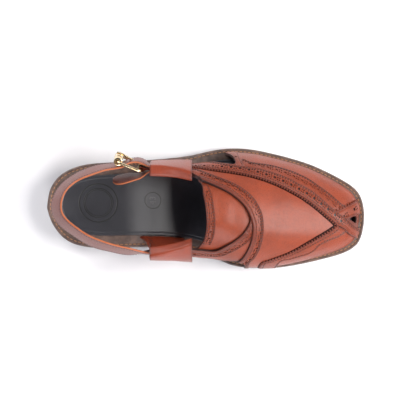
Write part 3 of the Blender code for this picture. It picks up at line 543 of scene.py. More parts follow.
# Insole: black glazed leather, cemented to the welt inside the upper. It is pressed with plain rings at the
# heel and a small ring round the size number, whose grey is a painted highlight for the light on its raised
# letters.
INSOLE_CLEAR = 1.6 * MM + 4 * FIT
INSOLE_LOW = OUTSOLE + MIDSOLE + 2 * FIT
INSOLE_SMOOTHING = 8
HEEL_RING = Vector((-101.6, 4.4)) * MM
SIZE_RING = Vector((-50.3, 7.0)) * MM

insole_low_mm = INSOLE_LOW / MM
insole_edge = in_mm((
    (1.0, insole_low_mm), (0.1, insole_low_mm + 0.3), (0.0, insole_low_mm + 1.5),
    (0.3, insole_low_mm + 2.0), (1.1, insole_low_mm + 2.2), (2.4, insole_low_mm + 2.2),
    (2.8, insole_low_mm + 2.0), (3.2, insole_low_mm + 2.2), (4.5, insole_low_mm + 2.2),
))
insole_loop = inset(SOLE_LOOP, last_margins(SOLE_LOOP) + INSOLE_CLEAR)
for _ in range(INSOLE_SMOOTHING):
    insole_loop = (np.roll(insole_loop, 1, axis=0) + 2 * insole_loop + np.roll(insole_loop, -1, axis=0)) / 4
insole = plate("insole_leather", evenly(insole_loop, OUTLINE_POINTS, closed=True), insole_edge)

black_leather = Finish("black_lining_leather", Roughness=0.38, Coat_Weight=0.6, Coat_Roughness=0.42)
x_place = black_leather.axis(0)
y_place = black_leather.axis(1)


def ring_mark(centre, radius, width):
    """A pressed line round a centre: 1 on the line and 0 off it."""
    across = (x_place - centre[0]).math("POWER", 2.0) + (y_place - centre[1]).math("POWER", 2.0)
    off = (across.math("SQRT") - radius).math("ABSOLUTE")
    return 1 - off.ramp(width * 0.4, width)


pressed = ring_mark(HEEL_RING, 17.9 * MM, 0.8 * MM) + ring_mark(HEEL_RING, 13.7 * MM, 0.6 * MM)
pressed = pressed + ring_mark(HEEL_RING, 12.3 * MM, 0.5 * MM) + ring_mark(SIZE_RING, 7.6 * MM, 0.5 * MM)
lining_pore = black_leather.cells(0.9 * MM)
lining_cloud = black_leather.noise(14 * MM)
lining_tone = black_leather.mix(lining_cloud, (0.018, 0.018, 0.023), (0.030, 0.030, 0.037))
pressed_tone = black_leather.mix(pressed.ramp(0.0, 1.0), lining_tone, (0.004, 0.004, 0.004))
black_leather.feed("Base Color", pressed_tone)
black_leather.feed("Roughness", lining_cloud * 0.2 + 0.28 + pressed * 0.2)
black_leather.bump(lining_pore.ramp(0.0, 0.12) * 0.08 - pressed, 0.35 * MM)
settle(insole, (black_leather,), replaces=("insole",))

bpy.ops.object.text_add()
size_number = bpy.context.object
size_number.name = "size_number"
size_number.data.body = "43"
size_number.data.size = 8 * MM
size_number.data.align_x = "CENTER"
size_number.data.align_y = "CENTER"
size_number.data.extrude = 0.25 * MM
bpy.ops.object.convert(target="MESH")
number_slope = math.atan2(seat(SIZE_RING[0] + MM) - seat(SIZE_RING[0] - MM), 2 * MM)
number_up = Vector((-math.cos(number_slope), 0, -math.sin(number_slope)))
number_turn = Matrix((Vector((0, 1, 0)), number_up, Vector((0, 1, 0)).cross(number_up))).transposed().to_4x4()
number_place = Vector((SIZE_RING[0], SIZE_RING[1], INSOLE_LOW + INSOLE + underside(SIZE_RING[0])))
size_number.data.transform(Matrix.Translation(number_place) @ number_turn)
size_number.select_set(False)
# The number's grey is a painted highlight for the light on its raised letters, broken in patches by noise.
number_highlight = Finish("size_number_painted_highlight", Roughness=0.35)
highlight_breakup = number_highlight.noise(0.6 * MM)
number_highlight.feed("Base Color", number_highlight.mix(highlight_breakup.ramp(0.45, 0.75), (0.11, 0.11, 0.12), (0.03, 0.03, 0.033)))
settle(size_number, (number_highlight,))

# Last: the wooden form that the upper is pulled over. It isn't part of the shoe: each leather layer below is
# cut out of its surface and laid at its own height over it, so that the layers follow each other.
INSTEP_RISE = 60 * MM
TOE_POLE = 0.865
LAST_REAR = 0.29
RAY_SPACING = 2.0 * MM
TOE_RAYS = 44
RAY_POINTS = 42
ABOVE_LAST = 140 * MM

rise_share = steady_curve(LAST, "rise")
fullness_share = steady_curve(LAST, "fullness")
side_swell = steady_curve(LAST, "side_swell")
inner_swell = steady_curve(LAST, "inner_swell")
FEATHER_LOOP = inset(SOLE_LOOP, last_margins(SOLE_LOOP))


def ridge_at(x):
    return np.array([x, float(ridge_share(along_of(x))) * WIDTH])


def feather_from(origin, way):
    """Where a level ray from a point of the ridge meets the feather line, at the upper's foot."""
    start = FEATHER_LOOP - origin
    end = np.roll(FEATHER_LOOP, -1, axis=0) - origin
    normal = np.array([-way[1], way[0]])
    a = start @ normal
    b = end @ normal
    crossed = (a <= 0) != (b <= 0)
    share = a[crossed] / (a[crossed] - b[crossed])
    found = start[crossed] + (end[crossed] - start[crossed]) * share[:, None]
    return origin + np.array(way) * (found @ np.array(way)).max()


def on_last(origin, feather, leans):
    """Points of the last on one ray, for leans from 0 at the feather line to a right angle on the ridge."""
    reach = feather - origin
    share = np.cos(leans) ** (2 / float(fullness_share(along_of(origin[0]))))
    places = origin + reach * share[:, None]
    along = along_of(places[:, 0])
    swell = (side_swell if reach[1] > 0 else inner_swell)(along) * WIDTH
    swell = swell * 3.08 * np.sin(leans) * np.cos(leans) ** 3 * reach[1] / np.linalg.norm(reach)
    height = seat(places[:, 0]) + FIT + rise_share(along) * INSTEP_RISE * np.sin(leans)
    return np.column_stack([places[:, 0], places[:, 1] + swell, height])


def last_mesh():
    """The last's surface as an open mesh of rays: along one side, round the toe, and back along the other."""
    pole = ridge_at((TOE_POLE - 0.5) * LENGTH)
    rear = (LAST_REAR - 0.5) * LENGTH
    stations = np.linspace(rear, pole[0], round((pole[0] - rear) / RAY_SPACING), endpoint=False)
    rays = [(ridge_at(x), feather_from(ridge_at(x), (0, 1))) for x in stations]
    for turn in np.linspace(math.pi / 2, -math.pi / 2, TOE_RAYS + 1):
        rays.append((pole, feather_from(pole, (math.cos(turn), math.sin(turn)))))
    rays += [(ridge_at(x), feather_from(ridge_at(x), (0, -1))) for x in stations[::-1]]
    mesh = bmesh.new()
    grid = []
    for origin, feather in rays:
        ray = evenly(on_last(origin, feather, np.linspace(0, math.pi / 2, 240)), RAY_POINTS)
        grid.append([mesh.verts.new(point) for point in ray])
    for here, there in zip(grid, grid[1:]):
        for k in range(RAY_POINTS - 1):
            mesh.faces.new([here[k], here[k + 1], there[k + 1], there[k]])
    bmesh.ops.remove_doubles(mesh, verts=mesh.verts, dist=0.02 * MM)
    bmesh.ops.recalc_face_normals(mesh, faces=mesh.faces)
    if max(mesh.faces, key=lambda face: face.calc_center_median().z).normal.z < 0:
        bmesh.ops.reverse_faces(mesh, faces=mesh.faces)
    mesh.normal_update()
    mesh.verts.index_update()
    return mesh


def at_foot(places):
    """Which places of the last lie on its feather line, where the upper meets the welt."""
    return places[:, 2] < seat(places[:, 0]) + FIT + 0.05 * MM


last = last_mesh()
last_places = np.array([vert.co for vert in last.verts])
last_normals = np.array([vert.normal for vert in last.verts])
last_normals[at_foot(last_places), 2] = 0
last_normals /= np.linalg.norm(last_normals, axis=1)[:, None]
last_rings = [[vert.index for vert in face.verts] for face in last.faces]
trees = {}


def tree_at(offset):
    """A search tree of the last's surface, moved out by an offset."""
    key = round(offset / MM, 3)
    if key not in trees:
        corners = last_places + last_normals * offset
        trees[key] = (BVHTree.FromPolygons([Vector(c) for c in corners], last_rings), corners)
    return trees[key]


def read_last(face, place, corners):
    """Place and normal of the last that lie under a place on one face of an offset surface."""
    ring = last_rings[face]
    shares = poly_3d_calc([Vector(corners[i]) for i in ring], place)
    under = sum(last_places[i] * share for i, share in zip(ring, shares))
    normal = sum(last_normals[i] * share for i, share in zip(ring, shares))
    return under, normal / np.linalg.norm(normal)


def laid(line, offset):
    """A line drawn from above, as the places of the last under it; a row is nan where it misses."""
    tree, corners = tree_at(offset)
    found = np.full((len(line), 3), np.nan)
    for i, (x, y) in enumerate(line):
        place, _, face, _ = tree.ray_cast(Vector((x, y, ABOVE_LAST)), Vector((0, 0, -1)))
        if place is not None:
            found[i] = read_last(face, place, corners)[0]
    return found


def settled(places):
    """Places moved to the nearest of the last, with its normals there."""
    tree, corners = tree_at(0.0)
    found = []
    for point in places:
        place, _, face, _ = tree.find_nearest(Vector(point))
        found.append(read_last(face, place, corners))
    return np.array([pair[0] for pair in found]), np.array([pair[1] for pair in found])


# The leather's soft troughs and swells over the forefoot, as it comes off the last and has been handled
CreaseRow = namedtuple("CreaseRow", "along across turn long wide deep")
CREASES = [
    CreaseRow(*row)
    for row in (
        (0.700, -0.150, 78, 24, 3.6, 0.17), (0.716, -0.165, 80, 26, 3.2, -0.12),
        (0.735, -0.120, 74, 20, 3.2, 0.13), (0.750, -0.040, 70, 15, 2.8, 0.10),
        (0.690, 0.060, 60, 12, 2.6, 0.12), (0.760, -0.260, 96, 9, 2.4, 0.20),
        (0.830, -0.120, 20, 18, 7.0, -0.35), (0.780, 0.020, -25, 22, 9.0, -0.25),
        (0.590, -0.090, 84, 18, 6.0, 0.25), (0.560, -0.060, 86, 22, 5.0, -0.25),
        (0.550, 0.110, 70, 8, 2.0, 0.16), (0.555, -0.230, 104, 8, 2.0, 0.18),
        (0.870, 0.150, -35, 16, 2.8, 0.20), (0.780, 0.345, -14, 16, 2.6, 0.20),
        (0.860, -0.360, 18, 14, 2.6, 0.20),
    )
]


def relief(places):
    height = np.zeros(len(places))
    for row in CREASES:
        turn = math.radians(row.turn)
        ahead = places[:, 0] - (row.along - 0.5) * LENGTH
        aside = places[:, 1] - row.across * WIDTH
        lengthwise = (ahead * math.cos(turn) + aside * math.sin(turn)) / (row.long * MM)
        crosswise = (aside * math.cos(turn) - ahead * math.sin(turn)) / (row.wide * MM)
        height -= row.deep * MM * np.exp(-(lengthwise**2) - crosswise**2)
    return height


def within(loop, points):
    """Which of the flat points lie inside a closed outline."""
    x = points[:, :1]
    y = points[:, 1:]
    start = loop
    end = np.roll(loop, -1, axis=0)
    spans = (start[:, 1] > y) != (end[:, 1] > y)
    rise = np.where(start[:, 1] == end[:, 1], 1.0, end[:, 1] - start[:, 1])
    crossing = start[:, 0] + (y - start[:, 1]) * (end[:, 0] - start[:, 0]) / rise
    return (spans & (x < crossing)).sum(axis=1) % 2 == 1


def distance_to(line, places):
    """Distance from each place to a closed line, whose rows may be nan where it is broken."""
    sound = np.flatnonzero(~np.isnan(line[:, 0]))
    if not len(sound):
        return np.full(len(places), 1.0)
    flat = np.column_stack([line, np.zeros(len(line))]) if line.shape[1] == 2 else line
    spots = np.column_stack([places, np.zeros(len(places))]) if places.shape[1] == 2 else places
    tree = KDTree(len(sound))
    for i in sound:
        tree.insert(flat[i], int(i))
    tree.balance()
    near = np.array([tree.find(spot)[1] for spot in spots])
    best = np.linalg.norm(spots - flat[near], axis=1)
    for other in (near - 1, (near + 1) % len(flat)):
        span = flat[other] - flat[near]
        long = (span**2).sum(axis=1)
        share = np.clip(((spots - flat[near]) * span).sum(axis=1) / np.where(long > 0, long, 1), 0, 1)
        best = np.fmin(best, np.linalg.norm(spots - flat[near] - span * share[:, None], axis=1))
    return best


def drawn(*edges):
    """One closed outline of several edges, each smoothed by itself so that their corners stay sharp."""
    loop = np.vstack([smooth_line(plan(edge), 8) for edge in edges])
    return evenly(loop, round(length_of(loop) / (1.0 * MM)), closed=True)


def plan_area(loop, offset, keep=True):
    """How far inside an outline seen from above a place of the last is, or outside it."""
    line = laid(loop, offset)

    def depth(places, normals):
        inside = within(loop, (places + normals * offset)[:, :2])
        return distance_to(line, places) * np.where(inside == keep, 1, -1)

    return depth


STRAP_TOP = 72 * MM


def side_area(points, side, keep=False, offset=2.5 * MM):
    """The same for an outline seen from the side, on the outer side (1), the inner side (-1) or both (0)."""
    shares = smooth_line(points, 8)
    loop = np.column_stack([(shares[:, 0] - 0.5) * LENGTH, shares[:, 1] * STRAP_TOP])
    loop = evenly(loop, round(length_of(loop) / (1.0 * MM)), closed=True)
    start = {1: 8 * MM, -1: 15 * MM, 0: -1.0}[side]

    def depth(places, normals):
        seen = (places + normals * offset)[:, [0, 2]]
        found = distance_to(loop, seen) * np.where(within(loop, seen) == keep, 1, -1)
        reached = places[:, 1] * side > start if side else np.full(len(places), True)
        return np.where(reached, found, 30 * MM)

    return depth


def split_at(mesh, depth, level):
    """Cuts the faces along the line where a depth equals a level, and gives each vertex's depth past it."""
    places, normals = settled([vert.co for vert in mesh.verts])
    values = depth(places, normals) - level
    values[np.abs(values) < 0.04 * MM] = 0
    value = dict(zip(mesh.verts, values))
    on_line = [vert for vert in mesh.verts if value[vert] == 0]
    for edge in list(mesh.edges):
        a, b = edge.verts
        if value[a] * value[b] < 0:
            made = bmesh.utils.edge_split(edge, a, value[a] / (value[a] - value[b]))[1]
            value[made] = 0
            on_line.append(made)
    bmesh.ops.connect_verts(mesh, verts=on_line)
    return value


def cut_out(target, cutter):
    """Cuts one solid out of another, and then removes it."""
    step = target.modifiers.new(cutter.name, "BOOLEAN")
    step.operation = "DIFFERENCE"
    step.object = cutter
    step.solver = "MANIFOLD"
    bpy.context.view_layer.objects.active = target
    bpy.ops.object.modifier_apply(modifier=step.name)
    bpy.data.objects.remove(cutter, do_unlink=True)


def mark_edges(made, distance):
    """Gives a piece's vertices their distance from its edge, one each or one for all."""
    distances = np.broadcast_to(np.asarray(distance, np.float32), len(made.data.vertices)).copy()
    made.data.attributes.new("edge_distance", "FLOAT", "POINT").data.foreach_set("value", distances)


GROOVE_REACH = 0.5 * MM
GROOVE_WIDTH = 0.4 * MM
GROOVE_DEPTH = 0.38 * MM


def leather_layer(name, low, high, areas, rounding=0.45 * MM, grooves=(), holes=None):
    """A layer of leather between two heights over the last, cut to its areas: its edges rounded, pressed in
    along its seams, and punched. Its faces are outside leather, cut edges and lining."""
    mesh = last.copy()
    for area in areas:
        value = split_at(mesh, area, 0.0)
        lost = [face for face in mesh.faces if sum(value[vert] for vert in face.verts) < 0]
        bmesh.ops.delete(mesh, geom=lost, context="FACES")
    rounding = min(rounding, 0.45 * (high - low))

    def depth(places, normals):
        return np.min([area(places, normals) for area in areas], axis=0)

    levels = [0.12 * rounding, 0.45 * rounding, rounding]
    for groove in grooves:
        levels += [groove - GROOVE_REACH, groove, groove + GROOVE_REACH]
    for level in levels:
        split_at(mesh, depth, level)
    bmesh.ops.dissolve_degenerate(mesh, edges=mesh.edges, dist=0.01 * MM)
    mesh.verts.index_update()
    places, normals = settled([vert.co for vert in mesh.verts])
    reach = np.clip(depth(places, normals), 0, None)
    fall = np.clip(1 - reach / rounding, 0, 1)
    top = high - rounding * (1 - np.sqrt(1 - fall**2))
    for groove in grooves:
        top -= GROOVE_DEPTH * np.exp(-(((reach - groove) / GROOVE_WIDTH) ** 2))
    lift = relief(places)
    outer = places + normals * (top + lift)[:, None]
    inner = places + normals * (low + lift)[:, None]
    lasted = at_foot(places)
    for skin in (outer, inner):
        skin[lasted, 2] = seat(skin[lasted, 0]) - 0.2 * MM
    count = len(places)
    rings = [[vert.index for vert in face.verts] for face in mesh.faces]
    faces = rings + [[i + count for i in reversed(ring)] for ring in rings]
    for edge in mesh.edges:
        if edge.is_boundary:
            corner = edge.link_loops[0]
            a = corner.vert.index
            b = corner.link_loop_next.vert.index
            faces.append([b, a, a + count, b + count])
    mesh.free()
    data = bpy.data.meshes.new(name)
    data.from_pydata(np.vstack([outer, inner]).tolist(), [], faces)
    made = bpy.data.objects.new(name, data)
    bpy.context.scene.collection.objects.link(made)
    if holes is not None:
        cut_out(made, holes)
    spots, ups = settled([vert.co for vert in made.data.vertices])
    mark_edges(made, np.clip(depth(spots, ups), 0, 20 * MM))
    centres = np.array([face.center for face in made.data.polygons])
    spots, ups = settled(centres)
    facing = (np.array([face.normal for face in made.data.polygons]) * ups).sum(axis=1)
    height = np.linalg.norm(centres - spots, axis=1)
    for face, turned, level, spot in zip(made.data.polygons, facing, height, spots):
        if turned < -0.45:
            face.material_index = 2
        elif turned < 0.45 or level < high - 0.85 * MM:
            face.material_index = 1
    made.data.shade_smooth()
    made.data.set_sharp_from_angle(angle=math.radians(42))
    return made


def followed(edge, shift, offset, pitch):
    """Frames at a pitch along a line that runs beside an edge, on a layer's top: place, way and upwards."""
    line = laid(evenly(smooth_line(plan(edge), 8), 400), offset)
    line = line[~np.isnan(line[:, 0])]
    run = length_of(line)
    line = evenly(line, max(4, round(run / (0.8 * MM))))
    ways = np.gradient(line, axis=0)
    spots, ups = settled(line)
    aside = np.cross(ups, ways)
    aside /= np.linalg.norm(aside, axis=1)[:, None]
    spots, ups = settled(line + aside * shift)
    tops = spots + ups * (offset + relief(spots))[:, None]
    both = evenly(np.hstack([tops * 1.0, ups * MM]), max(2, int(run / pitch)))
    tops = both[:, :3]
    ways = np.gradient(tops, axis=0)
    return [
        (Vector(top), Vector(way), Vector(up).normalized())
        for top, way, up in zip(tops, ways, both[:, 3:])
    ]


def clear_of(frames, areas, margin=0.0):
    """The frames that lie inside areas by a margin."""
    spots, ups = settled([frame[0] for frame in frames])
    sound = np.full(len(frames), True)
    for area in areas:
        sound &= area(spots, ups) > margin
    return [frame for frame, kept in zip(frames, sound) if kept]

# Upper: vegetable-tanned cowhide in several layers, each cut, skived, folded or pinked at its edges, punched
# and stitched to the one under it before the whole is pulled over the last. It is tan with a black lining.
TONGUE_LEATHER = 1.6 * MM
WALL_LOW = TONGUE_LEATHER + FIT
WALL_HIGH = WALL_LOW + 1.7 * MM
VAMP_HIGH = WALL_HIGH + 1.0 * MM
TOE_PIECE_HIGH = VAMP_HIGH + 0.6 * MM
BAND_HIGH = VAMP_HIGH + 1.0 * MM
CROSS_BAND_HIGH = BAND_HIGH + 0.4 * MM
TUCK = 0.5 * MM
UNDERLAP = 0.025
SLEEVE_REAR = -52 * MM
SLEEVE_FRONT = -13 * MM
STRAP_STOP = SLEEVE_REAR + 18.5 * MM

COLLAR_EDGE = (
    (0.380, 0.200), (0.440, 0.215), (0.472, 0.193), (0.481, 0.160), (0.490, 0.091), (0.497, 0.011),
    (0.501, -0.093), (0.501, -0.172), (0.496, -0.250), (0.487, -0.305), (0.470, -0.350), (0.440, -0.372),
    (0.380, -0.380),
)
COLLAR_REAR = (
    (0.481, 0.160), (0.490, 0.091), (0.497, 0.011), (0.501, -0.093), (0.501, -0.172), (0.496, -0.250),
    (0.489, -0.300),
)
COLLAR_FRONT = (
    (0.514, -0.312), (0.523, -0.255), (0.528, -0.185), (0.528, -0.093), (0.523, 0.011), (0.517, 0.092),
    (0.507, 0.165),
)
TONGUE_FRONT = (
    (0.455, 0.60), (0.500, 0.330), (0.580, 0.235), (0.660, 0.100), (0.690, -0.100), (0.680, -0.300),
    (0.620, -0.400), (0.560, -0.600),
)
MEDIAL_STRAP_EDGE = (
    (0.300, -0.330), (0.420, -0.345), (0.480, -0.355), (0.527, -0.361), (0.558, -0.326), (0.588, -0.282),
    (0.613, -0.227), (0.631, -0.155), (0.637, -0.091),
)
ARCH_INNER = (
    (0.300, 0.228), (0.400, 0.229), (0.457, 0.227), (0.481, 0.211), (0.512, 0.179), (0.542, 0.144),
    (0.573, 0.100), (0.603, 0.040), (0.622, -0.019), (0.634, -0.083), (0.641, -0.147), (0.642, -0.211),
    (0.637, -0.290), (0.626, -0.362), (0.611, -0.425), (0.599, -0.457), (0.575, -0.600),
)
ARCH_OUTER = (
    (0.300, 0.305), (0.400, 0.306), (0.466, 0.304), (0.512, 0.264), (0.542, 0.234), (0.573, 0.202),
    (0.603, 0.162), (0.634, 0.102), (0.655, 0.038), (0.671, -0.050), (0.677, -0.130), (0.677, -0.210),
    (0.673, -0.290), (0.663, -0.369), (0.651, -0.425), (0.636, -0.465), (0.625, -0.600),
)
VAMP_SIDE_EDGE = (
    (0.300, 0.321), (0.400, 0.321), (0.465, 0.320), (0.512, 0.302), (0.573, 0.283), (0.635, 0.255),
    (0.697, 0.208), (0.759, 0.137), (0.821, 0.042), (0.885, -0.091), (0.910, -0.150),
)
VAMP_INNER_EDGE = (
    (0.910, -0.155), (0.885, -0.205), (0.822, -0.299), (0.760, -0.384), (0.698, -0.441), (0.674, -0.470),
    (0.660, -0.600),
)
CROSS_BAND_SIDE = (
    (0.300, 0.420), (0.400, 0.420), (0.465, 0.400), (0.520, 0.370), (0.574, 0.343), (0.620, 0.327),
    (0.666, 0.312), (0.698, 0.289), (0.729, 0.265), (0.760, 0.233), (0.791, 0.189), (0.823, 0.146),
    (0.854, 0.085), (0.885, 0.012), (0.917, -0.053), (0.933, -0.081), (0.949, -0.117), (0.963, -0.145),
    (0.977, -0.164), (1.010, -0.185),
)
CROSS_BAND_TOE = ((1.010, -0.285), (0.977, -0.256), (0.960, -0.238), (0.947, -0.219), (0.933, -0.179))
SIDE_BAND_EDGE = (
    (0.612, 0.310), (0.612, 0.400), (0.636, 0.373), (0.667, 0.362), (0.699, 0.351), (0.730, 0.333),
    (0.762, 0.308), (0.793, 0.276), (0.824, 0.235), (0.855, 0.177), (0.887, 0.118), (0.918, 0.047),
    (0.937, 0.010), (0.955, -0.030), (0.950, -0.060),
)
INNER_BAND_EDGE = (
    (0.945, -0.195), (0.917, -0.244), (0.886, -0.277), (0.854, -0.318), (0.839, -0.359), (0.817, -0.391),
    (0.793, -0.408), (0.762, -0.432), (0.730, -0.457), (0.700, -0.600),
)
TOE_PIECE = (
    (0.900, -0.040), (0.922, -0.016), (0.938, 0.006), (0.955, 0.028), (0.974, 0.051), (1.010, 0.080),
    (1.010, -0.040), (0.977, -0.056), (0.959, -0.071), (0.946, -0.088), (0.925, -0.110),
)
WINDOW_BAND = (
    (0.500, 0.600), (0.500, 0.345), (0.575, 0.310), (0.618, 0.310), (0.614, 0.347), (0.605, 0.401),
    (0.588, 0.600),
)
TOE_OPENING = ((0.950, -0.092), (0.978, -0.068), (0.980, -0.098), (0.977, -0.133))
BEHIND_ARCH = (
    (0.260, 0.180), (0.440, 0.180), (0.560, 0.020), (0.600, -0.150), (0.580, -0.400), (0.560, -0.600),
)

# Edges of the side openings, seen from the side: height as a share of STRAP_TOP
SIDE_WINDOW = (
    (0.250, -0.20), (0.250, 0.53), (0.360, 0.53), (0.457, 0.555), (0.530, 0.630), (0.575, 0.680),
    (0.590, 0.670), (0.588, 0.56), (0.576, 0.40), (0.562, 0.24), (0.553, -0.20),
)
INNER_WINDOW = (
    (0.250, -0.20), (0.250, 0.51), (0.360, 0.51), (0.467, 0.520), (0.540, 0.530), (0.580, 0.580),
    (0.608, 0.590), (0.620, 0.52), (0.624, 0.40), (0.620, 0.24), (0.616, -0.20),
)
INNER_STRAP_TOP = (
    (0.250, 0.835), (0.380, 0.835), (0.470, 0.820), (0.515, 0.850), (0.515, 1.40), (0.250, 1.40),
)
SIDE_STRAP_TOP = (
    (0.250, 0.870), (0.360, 0.870), (0.430, 0.880), (0.465, 0.925), (0.490, 1.000), (0.500, 1.40),
    (0.250, 1.40),
)
TONGUE_SIDES = (
    (0.250, 0.53), (0.250, 0.870), (0.458, 0.870), (0.474, 0.925), (0.490, 1.000), (0.500, 1.400),
    (0.800, 1.400), (0.800, 0.53),
)


def moved(edge, across):
    """An edge moved across the shoe, by a share of its width."""
    return tuple((along, place + across) for along, place in edge)


def beside(edge, offset, width):
    """The strip of the last that lies within a width of an edge."""
    line = laid(evenly(smooth_line(plan(edge), 8), 300), offset)
    line = np.vstack([line, [[np.nan] * 3]])

    def depth(places, normals):
        return width - distance_to(line, places)

    return depth


def behind_stop(places, normals):
    """What lies in front of the place inside the sleeves where the upper's straps end."""
    return places[:, 0] - STRAP_STOP


foot_opening = plan_area(drawn(ARCH_INNER, ((0.200, -0.700), (0.200, 0.228))), VAMP_HIGH, keep=False)
toe_opening = plan_area(drawn(TOE_OPENING), BAND_HIGH, keep=False)
side_window = side_area(SIDE_WINDOW, 1)
inner_window = side_area(INNER_WINDOW, -1)
strap_tops = (side_area(SIDE_STRAP_TOP, 1), side_area(INNER_STRAP_TOP, -1))
upper_areas = (foot_opening, side_window, inner_window, *strap_tops, behind_stop)


def leather_finish(name, light, deep, gloss, depth=6 * MM, burn=0.62):
    """Tan leather with a fine pebbled grain, a waxed face that pools light, and edges burnished darker."""
    finish = Finish(name, Coat_Roughness=0.34, Coat_Weight=gloss, Specular_IOR_Level=0.32)
    edge = finish.attribute("edge_distance")
    cloud = finish.noise(26 * MM, 3.0)
    mottle = finish.noise(5 * MM, 4.0, 0.6)
    pores = finish.cells(0.85 * MM)
    fine = finish.noise(0.35 * MM, 3.0)
    burnish = 1 - edge.ramp(0.2 * MM, depth)
    tone = (cloud * 0.55 + mottle * 0.45).ramp(0.36, 0.64)
    body = finish.mix(tone, tuple(0.80 * c for c in light), light)
    body = finish.mix(burnish * burn, body, deep)
    body = finish.mix(pores.ramp(-0.06, 0.09), deep, body)
    scuff = finish.noise(3.2 * MM, 6.0, 0.72).ramp(0.66, 0.74)
    body = finish.mix(scuff * 0.22, body, tuple(min(1.0, 1.35 * c) for c in light))
    finish.feed("Base Color", body)
    finish.feed("Roughness", mottle * 0.14 + 0.34 + burnish * 0.05 + scuff * 0.12)
    finish.bump(pores.ramp(0.0, 0.16) * 0.5 + fine * 0.35 + mottle * 0.6, 0.16 * MM, 0.85)
    return finish


TAN_LIGHT = (0.30, 0.046, 0.011)
TAN_DEEP = (0.070, 0.012, 0.006)
tan_leather = leather_finish("tan_leather", TAN_LIGHT, TAN_DEEP, 0.24)
band_leather = leather_finish("band_leather", tuple(0.88 * c for c in TAN_LIGHT), TAN_DEEP, 0.16, 2 * MM, 0.5)
# Near-black leather for the strip under the pinked teeth: painted shadow between and past them.
shadow_strip_leather = leather_finish("painted_shadow_strip", (0.040, 0.010, 0.006), (0.015, 0.005, 0.004), 0.0)
shadow_strip_leather.shader.inputs["Specular IOR Level"].default_value = 0.08
cut_edge = Finish("burnished_edge", Roughness=0.5, Coat_Weight=0.1)
cut_fibre = cut_edge.noise(0.7 * MM, 4.0)
cut_edge.feed("Base Color", cut_edge.mix(cut_fibre, (0.022, 0.008, 0.007), (0.060, 0.020, 0.014)))
cut_edge.bump(cut_fibre, 0.15 * MM)
LEATHER = (tan_leather, cut_edge, black_leather)
BAND = (band_leather, cut_edge, black_leather)

BAND_GROOVES = (1.2 * MM, 2.3 * MM)
LARGE_HOLE = 1.4 * MM
SMALL_HOLE = 0.7 * MM
HOLE_DEPTH = 1.1 * MM


def punches(frames, pattern):
    """One mesh of round punches at frames, each a row of a radius, a shift along and a shift across."""
    mesh = bmesh.new()
    for place, way, up in frames:
        way = way.normalized()
        side = up.cross(way).normalized()
        turn = Matrix((way, side, way.cross(side))).transposed()
        for radius, ahead, aside in pattern:
            spot = Matrix.Translation(place) @ turn.to_4x4() @ Matrix.Translation((ahead, aside, 0))
            bmesh.ops.create_cone(
                mesh, cap_ends=True, segments=12 if radius > SMALL_HOLE else 8,
                radius1=radius, radius2=radius, depth=2 * HOLE_DEPTH, matrix=spot,
            )
    return mesh_object("punches", mesh)


BROGUE = (
    (LARGE_HOLE, 0.0, 0.0), (SMALL_HOLE, 2.9 * MM, 1.15 * MM), (SMALL_HOLE, 2.9 * MM, -1.15 * MM),
    (SMALL_HOLE, 4.9 * MM, 1.15 * MM), (SMALL_HOLE, 4.9 * MM, -1.15 * MM),
)
BROGUE_PITCH = 7.8 * MM


def brogued(edge, shift, offset, areas, pitch=BROGUE_PITCH, pattern=BROGUE):
    """Punches for a row of brogue holes beside an edge, where its areas leave room for them."""
    frames = clear_of(followed(edge, shift, offset, pitch), areas, 1.6 * MM)
    return punches(frames, pattern)


def layer_piece(name, finishes, *rest, **more):
    """A leather layer that rides in the upper's slot."""
    piece = leather_layer(name, *rest, **more)
    return settle(piece, finishes)


# Wall: the layer that the others are sewn to. It is pulled under the welt all round and cut open at the foot,
# at both windows and at the toe.
wall = layer_piece("upper_wall", LEATHER, WALL_LOW, WALL_HIGH, (*upper_areas, toe_opening), 0.5 * MM)
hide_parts("upper")

# Vamp: the smooth panel over the forefoot, one plain piece of the best hide. Its edges are tucked in under
# the bands on both sides.
under_inner_band = moved(VAMP_INNER_EDGE, -UNDERLAP)
under_cross_band = moved(VAMP_SIDE_EDGE, UNDERLAP)
vamp_area = plan_area(drawn(BEHIND_ARCH, under_inner_band[::-1], under_cross_band[::-1]), VAMP_HIGH)
vamp_areas = (vamp_area, *upper_areas)
layer_piece("vamp", LEATHER, WALL_HIGH - TUCK, VAMP_HIGH, vamp_areas)

# Side band and window band: two narrow strips of the same hide, sewn down on the wall. The first follows the
# cross band on the outer side, and the second edges the outer window's front.
under_side_band = moved(VAMP_SIDE_EDGE[5:-1], 2.2 * UNDERLAP)
side_band_areas = (plan_area(drawn(SIDE_BAND_EDGE, under_side_band[::-1]), VAMP_HIGH), side_window)
SIDE_BAND_HIGH = VAMP_HIGH - 0.1 * MM
layer_piece(
    "side_band", BAND, WALL_HIGH - TUCK, SIDE_BAND_HIGH, side_band_areas, grooves=BAND_GROOVES,
    holes=brogued(CROSS_BAND_SIDE, 4.4 * MM, SIDE_BAND_HIGH, side_band_areas),
)

window_band_area = plan_area(drawn(WINDOW_BAND), VAMP_HIGH)
WINDOW_BAND_HIGH = VAMP_HIGH - 0.2 * MM
WINDOW_HOLES = ((0.560, 0.460), (0.580, 0.440), (0.598, 0.400), (0.610, 0.350))
layer_piece(
    "window_band", BAND, WALL_HIGH - TUCK, WINDOW_BAND_HIGH, (window_band_area, *upper_areas),
    grooves=(1.3 * MM,),
    holes=brogued(WINDOW_HOLES, 0.0, WINDOW_BAND_HIGH, (window_band_area, side_window), 5.5 * MM, BROGUE[:1]),
)

